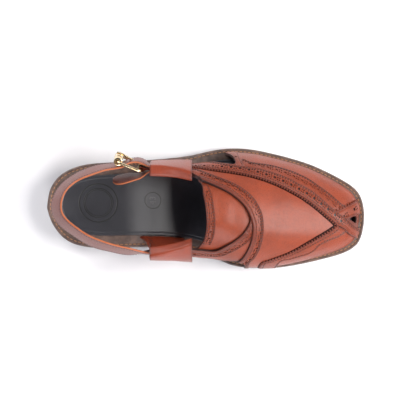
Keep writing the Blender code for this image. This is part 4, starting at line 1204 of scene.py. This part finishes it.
# Toe piece: the short strap of the same hide beside the cross band's end. It crosses under that band, and the
# toe's small opening lies between them.
toe_piece_area = plan_area(drawn(TOE_PIECE), BAND_HIGH)
TOE_HOLES = ((0.930, -0.076), (0.945, -0.050), (0.966, -0.012), (0.990, 0.020))
layer_piece(
    "toe_piece", BAND, WALL_HIGH - TUCK, TOE_PIECE_HIGH, (toe_piece_area, toe_opening), grooves=(1.4 * MM,),
    holes=brogued(TOE_HOLES, 0.0, TOE_PIECE_HIGH, (toe_piece_area, toe_opening)),
)

# Arch band: the wide curved strip in front of the foot's opening, from the outer sleeve to the inner side.
# It is punched, sewn down along its front edge, and rolled over a cord along the opening.
arch_areas = (plan_area(drawn(BEHIND_ARCH, ARCH_OUTER[::-1]), BAND_HIGH), *upper_areas)
layer_piece(
    "arch_band", BAND, WALL_HIGH - TUCK, BAND_HIGH, arch_areas, grooves=(1.3 * MM, 2.5 * MM),
    holes=brogued(ARCH_INNER, 6.9 * MM, BAND_HIGH, arch_areas, 6.4 * MM),
)
layer_piece(
    "arch_roll", LEATHER, WALL_HIGH - TUCK, BAND_HIGH + 0.5 * MM,
    (beside(ARCH_INNER, VAMP_HIGH, 3.1 * MM), *upper_areas), 1.1 * MM,
)

# Inner band and cross band: the two punched strips that meet over the toe and hold the vamp's edges between
# them and the wall. The cross band lies on top and runs back to the outer sleeve.
inner_band_area = plan_area(drawn(VAMP_INNER_EDGE, INNER_BAND_EDGE[::-1]), BAND_HIGH)
INNER_BAND_HIGH = BAND_HIGH + 0.1 * MM
layer_piece(
    "inner_band", BAND, WALL_HIGH - TUCK, INNER_BAND_HIGH, (inner_band_area, foot_opening),
    grooves=BAND_GROOVES,
    holes=brogued(VAMP_INNER_EDGE, 4.6 * MM, INNER_BAND_HIGH, (inner_band_area,)),
)

cross_band_loop = drawn(VAMP_SIDE_EDGE, CROSS_BAND_TOE[::-1], CROSS_BAND_SIDE[::-1])
cross_band_areas = (plan_area(cross_band_loop, BAND_HIGH), *upper_areas)
layer_piece(
    "cross_band", BAND, WALL_HIGH - TUCK, CROSS_BAND_HIGH, cross_band_areas,
    grooves=BAND_GROOVES,
    holes=brogued(VAMP_SIDE_EDGE, 5.2 * MM, CROSS_BAND_HIGH, cross_band_areas),
)

# Inner strap: it comes from under the arch band and runs back along the inner side into the inner sleeve.
# Its top edge is rolled, and its own brogued band is sewn along it.
strap_area = plan_area(
    drawn(MEDIAL_STRAP_EDGE, ((0.680, -0.100), (0.680, -0.600), (0.250, -0.600))), WALL_HIGH
)
strap_areas = (strap_area, inner_window, strap_tops[1], behind_stop)
layer_piece("inner_strap", LEATHER, WALL_LOW + 0.1 * MM, WALL_HIGH - 0.1 * MM, strap_areas)
STRAP_BAND_HIGH = WALL_HIGH + 0.7 * MM
layer_piece(
    "inner_strap_band", BAND, WALL_HIGH - 0.8 * MM, STRAP_BAND_HIGH,
    (beside(MEDIAL_STRAP_EDGE, WALL_HIGH, 9.0 * MM), *strap_areas), grooves=(1.2 * MM,),
    holes=brogued(MEDIAL_STRAP_EDGE, -5.8 * MM, STRAP_BAND_HIGH, strap_areas, 6.4 * MM),
)
layer_piece(
    "inner_strap_roll", LEATHER, WALL_HIGH - 0.8 * MM, STRAP_BAND_HIGH + 0.4 * MM,
    (beside(MEDIAL_STRAP_EDGE, WALL_HIGH, 2.8 * MM), *strap_areas), 1.0 * MM,
)

# Tongue: an instep saddle of the same hide, held under the straps. Its collar edge is bound by a punched band
# that is stitched along both edges.
tongue_areas = (
    plan_area(drawn(COLLAR_EDGE[::-1], TONGUE_FRONT), TONGUE_LEATHER),
    side_area(TONGUE_SIDES, 0, keep=True, offset=TONGUE_LEATHER / 2),
)
tongue = leather_layer("tongue_leather", 0.0, TONGUE_LEATHER, tongue_areas, 0.4 * MM)
settle(tongue, LEATHER, replaces=("tongue",))
COLLAR_HIGH = TONGUE_LEATHER + 1.0 * MM
collar_areas = (plan_area(drawn(COLLAR_REAR, COLLAR_FRONT), TONGUE_LEATHER), *tongue_areas)
collar = leather_layer(
    "collar_band", TONGUE_LEATHER - TUCK, COLLAR_HIGH, collar_areas, 0.5 * MM, grooves=(1.3 * MM, 2.3 * MM),
    holes=brogued(COLLAR_REAR, 4.1 * MM, COLLAR_HIGH, collar_areas, 6.0 * MM),
)
settle(collar, BAND)

# Seams of the upper: dark waxed thread, sewn by machine along both edges of each band and pulled down into
# the grooves that are pressed there.
UPPER_STITCH = (2.0 * MM, 0.85 * MM)
UPPER_STITCH_PITCH = 2.5 * MM
UPPER_STITCH_SUNK = 0.12 * MM
seam_frames = []
SeamRow = namedtuple("SeamRow", "edge shift offset areas")
for row in (
    SeamRow(VAMP_SIDE_EDGE, 2.4 * MM, CROSS_BAND_HIGH, cross_band_areas),
    SeamRow(CROSS_BAND_SIDE, -1.3 * MM, CROSS_BAND_HIGH, cross_band_areas),
    SeamRow(CROSS_BAND_SIDE, -2.5 * MM, CROSS_BAND_HIGH, cross_band_areas),
    SeamRow(SIDE_BAND_EDGE[1:-1], -1.2 * MM, SIDE_BAND_HIGH, side_band_areas),
    SeamRow(SIDE_BAND_EDGE[1:-1], -2.4 * MM, SIDE_BAND_HIGH, side_band_areas),
    SeamRow(INNER_BAND_EDGE, -1.3 * MM, INNER_BAND_HIGH, (inner_band_area,)),
    SeamRow(VAMP_INNER_EDGE, 2.4 * MM, INNER_BAND_HIGH, (inner_band_area,)),
    SeamRow(ARCH_OUTER, -1.3 * MM, BAND_HIGH, arch_areas),
    SeamRow(ARCH_OUTER, -2.5 * MM, BAND_HIGH, arch_areas),
    SeamRow(ARCH_INNER, 3.9 * MM, BAND_HIGH, arch_areas),
    SeamRow(COLLAR_REAR, 1.3 * MM, COLLAR_HIGH, collar_areas),
    SeamRow(COLLAR_FRONT, 1.3 * MM, COLLAR_HIGH, collar_areas),
    SeamRow(MEDIAL_STRAP_EDGE, -3.6 * MM, STRAP_BAND_HIGH, strap_areas),
    SeamRow(MEDIAL_STRAP_EDGE, -8.0 * MM, STRAP_BAND_HIGH, strap_areas),
):
    frames = clear_of(followed(row.edge, row.shift, row.offset, UPPER_STITCH_PITCH), row.areas, 0.5 * MM)
    seam_frames += [(place - up * UPPER_STITCH_SUNK, way, up) for place, way, up in frames]
waxed_thread = Finish("waxed_thread", Roughness=0.45)
ply = waxed_thread.noise(0.4 * MM)
waxed_thread.feed("Base Color", waxed_thread.mix(ply, (0.018, 0.010, 0.010), (0.060, 0.026, 0.020)))
waxed_thread.bump(ply, 0.1 * MM)
upper_stitches = scatter("upper_stitches", stitch_model(*UPPER_STITCH), seam_frames)
settle(upper_stitches, (waxed_thread,))

# Pinked edges: a strip cut to small rounded teeth is sewn in under the bands and shows past their edges on
# the vamp. Under the teeth lies a near-black strip, a painted shadow between and past them.
PINK_PITCH = 2.6 * MM
SHADOW_STRIP_WIDTH = 3.0 * MM
TOOTH = ((-0.6, -1.0), (0.3, -0.95), (1.3, -0.6), (1.9, 0.0), (1.3, 0.6), (0.3, 0.95), (-0.6, 1.0))


def either(*areas):
    """One area made of several: a place lies in it where it lies in any of them."""
    return lambda places, normals: np.max([area(places, normals) for area in areas], axis=0)


def teeth(name, rows):
    """Rows of small pointed teeth along edges, one mesh for all."""
    frames = []
    for edge, side, offset, areas in rows:
        for place, way, up in clear_of(followed(edge, side * 0.2 * MM, offset, PINK_PITCH), areas, -2.0 * MM):
            frames.append((place, way * side, up))
    mesh = bmesh.new()
    ends = [
        [mesh.verts.new((aside * MM, out * MM, level * MM)) for out, aside in TOOTH] for level in (-1.1, 0.0)
    ]
    tip = [mesh.verts.new((aside * 0.8 * MM, (out - 0.2) * MM, 0.18 * MM)) for out, aside in TOOTH]
    count = len(TOOTH)
    for low, high in ((ends[0], ends[1]), (ends[1], tip)):
        for i in range(count):
            mesh.faces.new([low[i], low[(i + 1) % count], high[(i + 1) % count], high[i]])
    mesh.faces.new(ends[0][::-1])
    mesh.faces.new(tip)
    return scatter(name, mesh_object(name + "_model", mesh), frames)


PINKED_HIGH = VAMP_HIGH + 0.75 * MM
pinked = teeth("pinked_edges", (
    (VAMP_SIDE_EDGE, -1, PINKED_HIGH, vamp_areas),
    (VAMP_INNER_EDGE, -1, PINKED_HIGH, (vamp_area, foot_opening, inner_window)),
    (TOE_PIECE[:6], 1, TOE_PIECE_HIGH - 0.3 * MM, (toe_piece_area,)),
))
settle(pinked, (band_leather,))
# The strip lies along the vamp's edges under the teeth; its near-black is painted shadow.
shadow_strip_area = plan_area(drawn(BEHIND_ARCH, VAMP_INNER_EDGE[::-1], VAMP_SIDE_EDGE[::-1]), VAMP_HIGH)
shadow_strips = either(
    beside(VAMP_SIDE_EDGE, VAMP_HIGH, SHADOW_STRIP_WIDTH), beside(VAMP_INNER_EDGE, VAMP_HIGH, SHADOW_STRIP_WIDTH)
)
layer_piece(
    "pinked_shadow", (shadow_strip_leather,) * 3, VAMP_HIGH - TUCK, VAMP_HIGH + 0.2 * MM,
    (shadow_strip_area, shadow_strips, *upper_areas), 0.1 * MM,
)

# Side sleeves: a loop of glazed hide folded over the straps on each side, its two leaves glued and stitched
# together below them, with the foot lasted on to the welt.
SLEEVE_LEATHER = 1.6 * MM
SleevePlace = namedtuple("SleevePlace", "low top slant")
SIDE_SLEEVE = SleevePlace(0.51, 0.905, 8 * MM)
INNER_SLEEVE = SleevePlace(0.48, 0.865, 10 * MM)
TUNNEL_LOW = -2 * FIT
TUNNEL_HIGH = CROSS_BAND_HIGH + 3 * FIT
SLEEVE_SEAMS = (2.2 * MM, 3.4 * MM)
SLEEVE_STITCH = (1.8 * MM, 0.55 * MM)
SLEEVE_STATIONS = 22
SLEEVE_STEPS = 9


def beside_last(x, inner, height, offset):
    """A place beside the last, at a height above the floor and an offset out from its side."""
    origin = ridge_at(x)
    feather = feather_from(origin, (0, -1 if inner else 1))
    rise = float(rise_share(along_of(x))) * INSTEP_RISE

    def at(level):
        lean = math.asin(min(max((level - seat(x) - FIT) / rise, 0), 1))
        return Vector(on_last(origin, feather, np.array([lean]))[0])

    here = at(height)
    up = at(height + MM) - here
    outward = Vector((0, up.z, -up.y)).normalized()
    if (outward.y < 0) != inner:
        outward.negate()
    return here + outward * offset


def sleeve_ring(x, inner, place, section):
    """One section of a sleeve: rows of a height and an offset, slid back towards the foot."""
    foot = seat(x) + FIT
    ring = []
    for height, offset in section:
        slid = x - place.slant * max(0, 1 - (height - foot) / (place.low * STRAP_TOP - foot)) ** 1.5
        spot = beside_last(slid, inner, max(height, seat(slid) + FIT), offset)
        if height <= foot + 0.01 * MM:
            spot.z = seat(slid) - 0.2 * MM
        spot.z = max(spot.z, seat(slid) - 0.2 * MM)
        ring.append(spot)
    return ring


def loft(name, rings, closed=False):
    """A solid through rings of equally many points, its ends closed or joined to each other."""
    mesh = bmesh.new()
    rows = [[mesh.verts.new(point) for point in ring] for ring in rings]
    count = len(rows[0])
    spans = list(zip(rows, rows[1:])) + ([(rows[-1], rows[0])] if closed else [])
    for here, there in spans:
        for k in range(count):
            mesh.faces.new([here[k], here[(k + 1) % count], there[(k + 1) % count], there[k]])
    if not closed:
        mesh.faces.new(rows[0][::-1])
        mesh.faces.new(rows[-1])
    return mesh_object(name, mesh)


def softened(made, width, angle=50):
    """Rounds a piece's sharp edges."""
    step = made.modifiers.new("softened", "BEVEL")
    step.width = width
    step.segments = 2
    step.limit_method = "ANGLE"
    step.angle_limit = math.radians(angle)
    bpy.context.view_layer.objects.active = made
    bpy.ops.object.modifier_apply(modifier=step.name)
    made.data.shade_smooth()
    made.data.set_sharp_from_angle(angle=math.radians(42))
    return made


def make_sleeve(name, inner, place):
    leaf = SLEEVE_LEATHER
    low = place.low * STRAP_TOP
    top = place.top * STRAP_TOP
    skin_low = TUNNEL_LOW - leaf
    skin_high = TUNNEL_HIGH + leaf
    rings = []
    for x in np.linspace(SLEEVE_REAR, SLEEVE_FRONT, SLEEVE_STATIONS):
        foot = seat(x) + FIT
        wave = 0.22 * MM * math.sin((x - SLEEVE_REAR) / (5.2 * MM)) * math.sin((x - SLEEVE_REAR) / (11 * MM))
        middle = (foot + low) / 2
        levels = np.linspace(low, top, SLEEVE_STEPS)
        section = [(foot, skin_low), (middle, skin_low), *((level, skin_low) for level in levels)]
        section += [(top + 0.7 * leaf, skin_low + 0.5 * leaf), (top + leaf + wave, skin_low + 1.6 * leaf)]
        section += [(top + leaf + wave, (skin_low + skin_high) / 2), (top + leaf, skin_high - 1.6 * leaf)]
        section += [(top + 0.7 * leaf, skin_high - 0.5 * leaf)]
        section += [(level, skin_high + wave) for level in levels[::-1]]
        section += [(low - leaf, skin_high - leaf), (low - 2.2 * leaf, skin_high - 3 * leaf)]
        section += [(middle, skin_low + 2 * leaf), (foot, skin_low + 2 * leaf)]
        rings.append(sleeve_ring(x, inner, place, smooth_line(section, 3, closed=True)))
    sleeve = softened(loft(name, rings), 0.4 * MM)
    holes = []
    for x in np.linspace(SLEEVE_REAR - 6 * MM, SLEEVE_FRONT + 6 * MM, 14):
        levels = np.linspace(low, top, SLEEVE_STEPS)
        hole = [(level, TUNNEL_LOW) for level in levels] + [(level, TUNNEL_HIGH) for level in levels[::-1]]
        holes.append(sleeve_ring(x, inner, place, hole))
    cut_out(sleeve, loft(name + "_tunnel", holes))
    sleeve.data.set_sharp_from_angle(angle=math.radians(42))
    ends = (SLEEVE_REAR, SLEEVE_FRONT)
    mark_edges(sleeve, [min(abs(v.co.x - end) for end in ends) for v in sleeve.data.vertices])
    stitches = []
    seams = [end + sign * gap for end, sign in ((SLEEVE_REAR, 1), (SLEEVE_FRONT, -1)) for gap in SLEEVE_SEAMS]
    for x in seams:
        rows = [(level, skin_low - 0.05 * MM) for level in np.linspace(seat(x) + 2.5 * MM, low + 2 * MM, 60)]
        line = evenly(np.array(sleeve_ring(x, inner, place, rows)), round((low - seat(x)) / (2.4 * MM)))
        facing = Vector((0, 1 if inner else -1, 0.25)).normalized()
        ways = np.gradient(line, axis=0)
        stitches += [(Vector(spot), Vector(way), facing) for spot, way in zip(line, ways)]
    line = []
    for x in np.linspace(SLEEVE_REAR + 3 * MM, SLEEVE_FRONT - 3 * MM, 14):
        line.append(sleeve_ring(x, inner, place, [(low - 0.9 * leaf, skin_high - 0.95 * leaf)])[0])
    facing = Vector((0, -1 if inner else 1, 0)).normalized()
    stitches += [(spot, Vector((1, 0, 0)), facing) for spot in line]
    return sleeve, stitches


sleeve_leather = leather_finish("sleeve_leather", (0.30, 0.042, 0.011), TAN_DEEP, 0.4, 2.5 * MM)
sleeve_stitches = []
for node, inner, place in (("side_sleeve", False, SIDE_SLEEVE), ("inner_sleeve", True, INNER_SLEEVE)):
    sleeve, frames = make_sleeve(node + "_leather", inner, place)
    sleeve_stitches += frames
    settle(sleeve, (sleeve_leather,), replaces=(node,))
sleeve_thread = scatter("sleeve_stitches", stitch_model(*SLEEVE_STITCH), sleeve_stitches)
settle(sleeve_thread, (waxed_thread,))

# Heel strap: tan hide outside, black lining inside, its raw edges dyed orange. It leaves the outer sleeve,
# goes through the buckle and round the heel, and ends inside the inner sleeve, stitched along both edges.
STRAP_LEATHER = 1.8 * MM
STRAP_WIDTH = 26 * MM
STRAP_STITCH = (1.9 * MM, 0.55 * MM)
STRAP_STITCH_PITCH = 2.6 * MM
HEEL_STRAP_STOP = STRAP_STOP - 1.5 * MM
HEEL_STRAP = [
    StrapRow(*row)
    for row in (
        (0.307, 0.335, 0.84, 0.307, 0.385, 0.54), (0.288, 0.350, 0.86, 0.288, 0.400, 0.56),
        (0.266, 0.344, 0.88, 0.264, 0.392, 0.57), (0.245, 0.312, 0.90, 0.241, 0.368, 0.585),
        (0.225, 0.299, 0.92, 0.220, 0.358, 0.595), (0.190, 0.282, 0.94, 0.184, 0.348, 0.60),
        (0.150, 0.246, 0.96, 0.142, 0.324, 0.61), (0.108, 0.200, 0.97, 0.094, 0.268, 0.62),
        (0.076, 0.130, 0.98, 0.050, 0.180, 0.64), (0.061, 0.045, 1.00, 0.024, 0.062, 0.66),
        (0.060, -0.040, 1.00, 0.022, -0.045, 0.66), (0.074, -0.105, 0.98, 0.042, -0.140, 0.64),
        (0.104, -0.172, 0.97, 0.082, -0.222, 0.62), (0.146, -0.243, 0.96, 0.139, -0.315, 0.60),
        (0.207, -0.303, 0.94, 0.201, -0.360, 0.58), (0.268, -0.342, 0.90, 0.264, -0.386, 0.55),
    )
]
GUARD_TAB = [
    StrapRow(*row)
    for row in (
        (0.300, 0.226, 0.86, 0.300, 0.284, 0.60), (0.280, 0.206, 0.87, 0.280, 0.276, 0.60),
        (0.262, 0.190, 0.87, 0.258, 0.276, 0.60), (0.240, 0.176, 0.85, 0.236, 0.262, 0.61),
        (0.222, 0.178, 0.81, 0.220, 0.248, 0.64), (0.212, 0.195, 0.76, 0.211, 0.228, 0.69),
    )
]


def free_edges(rows, bulge):
    """Top edge, lower edge and bulge of a strap's rows where it hangs free."""
    places = []
    for row in rows:
        top = ((row.top_along - 0.5) * LENGTH, row.top_across * WIDTH, row.top * STRAP_TOP)
        low = ((row.low_along - 0.5) * LENGTH, row.low_across * WIDTH, row.low * STRAP_TOP)
        places.append((top, low, bulge))
    return places


def sleeved_edges(stations, inner, low, top, offset):
    """The same for the rows that lie inside a sleeve, bent to the last."""
    places = []
    for x in stations:
        ends = [beside_last(x, inner, height, offset) for height in (top, low)]
        middle = beside_last(x, inner, (top + low) / 2, offset)
        places.append((tuple(ends[0]), tuple(ends[1]), (middle - (ends[0] + ends[1]) / 2).length))
    return places


EDGE_SHARES = (0.0, 0.005, 0.014, 0.028, 0.05, 0.09)
MIDDLE_SHARES = tuple(np.linspace(0.15, 0.85, 9))


def strap_mesh(name, edges, thickness, steps=8):
    """A strap with rounded edges: outside leather, dyed edges and lining. With it come both seams' frames."""
    tops = smooth_line([row[0] for row in edges], steps)
    lows = smooth_line([row[1] for row in edges], steps)
    bulges = smooth_line([(row[2], 0.0) for row in edges], steps)[:, 0]
    ways = np.gradient((tops + lows) / 2, axis=0)
    shares = (*EDGE_SHARES, *MIDDLE_SHARES, *(1 - share for share in EDGE_SHARES[::-1]))
    rings = []
    seams = ([], [])
    for top, low, bulge, way in zip(tops, lows, bulges, ways):
        outward = Vector(way).cross(Vector(top - low)).normalized()
        ring = []
        for side in (1, -1):
            for share in shares[::side]:
                rim = 1 - min(share, 1 - share, 0.028) / 0.028
                out = bulge * 4 * share * (1 - share) + side * thickness / 2 * math.sqrt(1 - rim**2)
                ring.append(Vector(low + (top - low) * share) + outward * out)
        rings.append(ring)
        for seam, share in zip(seams, (0.10, 0.90)):
            out = bulge * 4 * share * (1 - share) + thickness / 2
            seam.append((Vector(low + (top - low) * share) + outward * out, Vector(way), outward))
    made = loft(name, rings)
    rim_faces = len(EDGE_SHARES) - 2
    across = len(shares)
    count = 2 * across
    for i, face in enumerate(made.data.polygons):
        k = i % count
        if i >= count * (len(rings) - 1):
            face.material_index = 1
        elif k >= across - 4 or k < 3:
            lining = across + 1 <= k <= count - rim_faces - 1
            face.material_index = 2 if lining else 1
    spread = [min(share, 1 - share) * STRAP_WIDTH for share in (*shares, *shares[::-1])]
    mark_edges(made, np.tile(spread, len(rings)))
    return made, seams


def seam_stitches(seam, pitch, skip):
    """Frames at a pitch along a strap's seam, but for the places to skip."""
    run = length_of(np.array([tuple(place) for place, _, _ in seam]))
    line = evenly(np.array([(*place, *(up * MM)) for place, _, up in seam]), 1 + int(run / pitch))
    ways = np.gradient(line[:, :3], axis=0)
    frames = [(Vector(row[:3]), Vector(way), Vector(row[3:]).normalized()) for row, way in zip(line, ways)]
    return [frame for frame in frames if not skip(frame[0])]


raw_edge = Finish("dyed_raw_edge", Roughness=0.5)
raw_fibre = raw_edge.noise(0.8 * MM, 4.0)
raw_edge.feed("Base Color", raw_edge.mix(raw_fibre, (0.36, 0.085, 0.028), (0.52, 0.15, 0.05)))
raw_edge.bump(raw_fibre, 0.15 * MM)
strap_leather = leather_finish("strap_leather", (0.20, 0.040, 0.022), TAN_DEEP, 0.35, 2 * MM, 0.4)

SIDE_STRAP_OFFSET = TUNNEL_HIGH - 1.5 * FIT - STRAP_LEATHER / 2
INNER_STRAP_OFFSET = WALL_LOW + STRAP_LEATHER / 2
heel_edges = sleeved_edges(
    (HEEL_STRAP_STOP, SLEEVE_REAR + 5 * MM, SLEEVE_REAR - 1 * MM), False, 0.55 * STRAP_TOP, 0.83 * STRAP_TOP,
    SIDE_STRAP_OFFSET,
)
heel_edges += free_edges(HEEL_STRAP, 0.6 * MM)
heel_edges += sleeved_edges(
    (SLEEVE_REAR + 2 * MM, HEEL_STRAP_STOP), True, 0.51 * STRAP_TOP, 0.82 * STRAP_TOP, INNER_STRAP_OFFSET
)
heel_strap, heel_seams = strap_mesh("heel_strap_leather", heel_edges, STRAP_LEATHER)
strap_stitches = []
for seam in heel_seams:
    strap_stitches += seam_stitches(seam, STRAP_STITCH_PITCH, lambda place: place.x > SLEEVE_REAR - 1 * MM)

# Guard tab: a tongue of the same hide that comes out of the outer sleeve under the buckle and keeps it off
# the ankle. Its raw edges are dyed orange too.
GUARD_LEATHER = 1.4 * MM
GUARD_OFFSET = TUNNEL_LOW + FIT + GUARD_LEATHER / 2
guard_stations = (SLEEVE_REAR + 8 * MM, SLEEVE_REAR + 2 * MM, SLEEVE_REAR - 1 * MM)
guard_edges = sleeved_edges(guard_stations, False, 0.60 * STRAP_TOP, 0.83 * STRAP_TOP, GUARD_OFFSET)
guard_edges += free_edges(GUARD_TAB, 0.5 * MM)
guard_tab, _ = strap_mesh("guard_tab_leather", guard_edges, GUARD_LEATHER, steps=6)
settle(guard_tab, (strap_leather, raw_edge, strap_leather), replaces=("guard_tab",))

# Buckle: polished brass. The frame is bent wire, a roller turns on its rear bar, and a prong hangs on its
# front bar, goes through the strap's hole and rests on the roller.
BUCKLE_SPAN = 32 * MM
BUCKLE_WIRE = 2.6 * MM
ROLLER = 8 * MM
ROLLER_BORE = 4.2 * MM
PRONG = 2.2 * MM
ROLLER_PLACE = Vector(((0.229 - 0.5) * LENGTH, 0.386 * WIDTH, 0.755 * STRAP_TOP))
HINGE_PLACE = Vector(((0.300 - 0.5) * LENGTH, 0.312 * WIDTH, 0.715 * STRAP_TOP))
BUCKLE_LEAN = 0.30
forward = (HINGE_PLACE - ROLLER_PLACE).normalized()
upward = Vector((0, -BUCKLE_LEAN, 1))
upward = (upward - forward * upward.dot(forward)).normalized()
outward = upward.cross(forward)
if outward.y < 0:
    outward.negate()


def on_buckle(ahead, up, out=0.0, start=ROLLER_PLACE):
    return start + forward * ahead + upward * up + outward * out


brass = Finish("polished_brass", Metallic=1.0, Roughness=0.2)
tarnish = brass.noise(4 * MM, 4.0)
scratch = brass.noise(0.4 * MM, 4.0, 0.7)
brass.feed("Base Color", brass.mix(tarnish.ramp(0.3, 0.7), (0.72, 0.50, 0.24), (0.92, 0.78, 0.52)))
brass.feed("Roughness", scratch * 0.22 + 0.10)
brass.bump(scratch, 0.04 * MM)
BUCKLE_LONG = (HINGE_PLACE - ROLLER_PLACE).length
CORNER = 3.5 * MM


def wire(name, points, diameter, closed=False):
    """A bent wire through points, as a curve with a round section, made a mesh."""
    curve = bpy.data.curves.new(name, "CURVE")
    curve.dimensions = "3D"
    curve.bevel_depth = diameter / 2
    curve.bevel_resolution = 5
    curve.use_fill_caps = not closed
    spline = curve.splines.new("POLY")
    spline.points.add(len(points) - 1)
    for point, place in zip(spline.points, points):
        point.co = (*place, 1)
    spline.use_cyclic_u = closed
    bent = bpy.data.objects.new(name, curve)
    bpy.context.scene.collection.objects.link(bent)
    data = bpy.data.meshes.new_from_object(bent.evaluated_get(bpy.context.evaluated_depsgraph_get()))
    bpy.data.objects.remove(bent, do_unlink=True)
    mesh = bmesh.new()
    mesh.from_mesh(data)
    bmesh.ops.remove_doubles(mesh, verts=mesh.verts, dist=0.001 * MM)
    return mesh_object(name, mesh)


frame_points = []
for ahead, up, turn in ((BUCKLE_LONG, 1, 0.0), (0.0, 1, 0.5), (0.0, -1, 1.0), (BUCKLE_LONG, -1, 1.5)):
    centre_ahead = ahead - CORNER if ahead else CORNER
    centre_up = up * (BUCKLE_SPAN / 2 - BUCKLE_WIRE / 2 - CORNER)
    for k in range(9):
        angle = math.pi * (turn + k / 16)
        ahead_of_centre = CORNER * math.cos(angle)
        frame_points.append(on_buckle(centre_ahead + ahead_of_centre, centre_up + CORNER * math.sin(angle)))
frame_wire = wire("buckle_frame_wire", frame_points, BUCKLE_WIRE, closed=True)
settle(frame_wire, (brass,), replaces=("buckle_frame",))

ROLLER_HALF = BUCKLE_SPAN / 2 - BUCKLE_WIRE - 1 * MM
roller_profile = [(ROLLER_BORE / 2 + 0.3 * MM, -ROLLER_HALF), (ROLLER / 2 - 0.6 * MM, -ROLLER_HALF)]
roller_profile += [(ROLLER / 2 - 0.15 * MM, 0.2 * MM - ROLLER_HALF), (ROLLER / 2, 0.7 * MM - ROLLER_HALF)]
roller_profile += [(radius, -level) for radius, level in roller_profile[::-1]]
roller_profile += [(ROLLER_BORE / 2, ROLLER_HALF - 0.3 * MM), (ROLLER_BORE / 2, 0.3 * MM - ROLLER_HALF)]
roller_rings = []
for angle in np.linspace(0, 2 * math.pi, 40, endpoint=False):
    ring = [on_buckle(far * math.cos(angle), level, far * math.sin(angle)) for far, level in roller_profile]
    roller_rings.append(ring)
roller_tube = loft("buckle_roller_tube", roller_rings, closed=True)
settle(roller_tube, (brass,), replaces=("buckle_roller",))

EYE = BUCKLE_WIRE / 2 + FIT + PRONG / 2
prong_points = []
for k in range(17):
    angle = math.pi * (-1.35 + 1.7 * k / 16 + 0.15)
    prong_points.append(on_buckle(BUCKLE_LONG + EYE * math.cos(angle), 0, EYE * math.sin(angle)))
prong_way = [
    prong_points[-1],
    on_buckle(BUCKLE_LONG * 0.5, 0, 0.5 * (EYE + ROLLER / 2 + FIT + PRONG / 2)),
    on_buckle(1.5 * MM, 0, ROLLER / 2 + FIT + PRONG / 2),
    on_buckle(-3.5 * MM, 0, ROLLER / 2 + FIT + PRONG / 2 - 0.4 * MM),
]
prong = wire("buckle_prong_wire", prong_points[:-1] + [Vector(p) for p in smooth_line(prong_way, 5)], PRONG)
settle(softened(prong, 0.5 * MM, 60), (brass,), replaces=("buckle_prong",))


def rod(name, place, way, radius, length):
    """A round bar centred on a place."""
    mesh = bmesh.new()
    bmesh.ops.create_cone(
        mesh, cap_ends=True, segments=28, radius1=radius, radius2=radius, depth=length,
        matrix=way.to_track_quat("Z", "Y").to_matrix().to_4x4(),
    )
    bmesh.ops.translate(mesh, verts=mesh.verts, vec=place)
    return mesh_object(name, mesh)


hole_way = (prong_way[2] - on_buckle(BUCKLE_LONG, 0, EYE)).normalized()
hole_place = (prong_way[2] + on_buckle(BUCKLE_LONG, 0, EYE)) / 2
settle(heel_strap, (strap_leather, raw_edge, black_leather), replaces=("heel_strap",))
cut_out(heel_strap, rod("prong_hole", hole_place, hole_way, PRONG / 2 + FIT, BUCKLE_LONG))
strap_thread = scatter("strap_stitches", stitch_model(*STRAP_STITCH), strap_stitches)
settle(strap_thread, (waxed_thread,))

# Hinge loop: a thin strip of hide folded round the buckle's front bar, slotted for the prong's eye. Both its
# ends are held in the outer sleeve.
LOOP_LEATHER = 0.9 * MM
LOOP_WIDTH = 12 * MM
loop_round = BUCKLE_WIRE / 2 + FIT + LOOP_LEATHER
loop_offset = GUARD_OFFSET + GUARD_LEATHER / 2 + 2 * FIT + LOOP_LEATHER
loop_end = beside_last(SLEEVE_REAR + 3 * MM, False, 0.705 * STRAP_TOP, loop_offset)
reach = (loop_end - HINGE_PLACE).dot(forward)
aside = (loop_end - HINGE_PLACE).dot(outward)
section = [(math.cos(t) * loop_round, math.sin(t) * loop_round) for t in np.linspace(0.5, 1.5, 21) * math.pi]
section += [(reach * 0.45, aside * 0.6 - LOOP_LEATHER), (reach, aside - LOOP_LEATHER)]
section += [(reach, aside + LOOP_LEATHER), (reach * 0.45, aside * 0.6 + LOOP_LEATHER)]
loop_ends = [
    [on_buckle(ahead, up, out, HINGE_PLACE) for ahead, out in section]
    for up in (-LOOP_WIDTH / 2, LOOP_WIDTH / 2)
]
hinge_loop = loft("hinge_loop_leather", loop_ends)
softened(hinge_loop, 0.25 * MM)
cut_out(hinge_loop, rod("hinge_bore", HINGE_PLACE, upward, BUCKLE_WIRE / 2 + FIT, LOOP_WIDTH * 2))
cut_out(hinge_loop, rod("eye_slot", HINGE_PLACE, upward, EYE + PRONG / 2 + FIT, PRONG + 4 * FIT))
mark_edges(hinge_loop, 4 * MM)
settle(hinge_loop, (sleeve_leather,), replaces=("hinge_loop",))
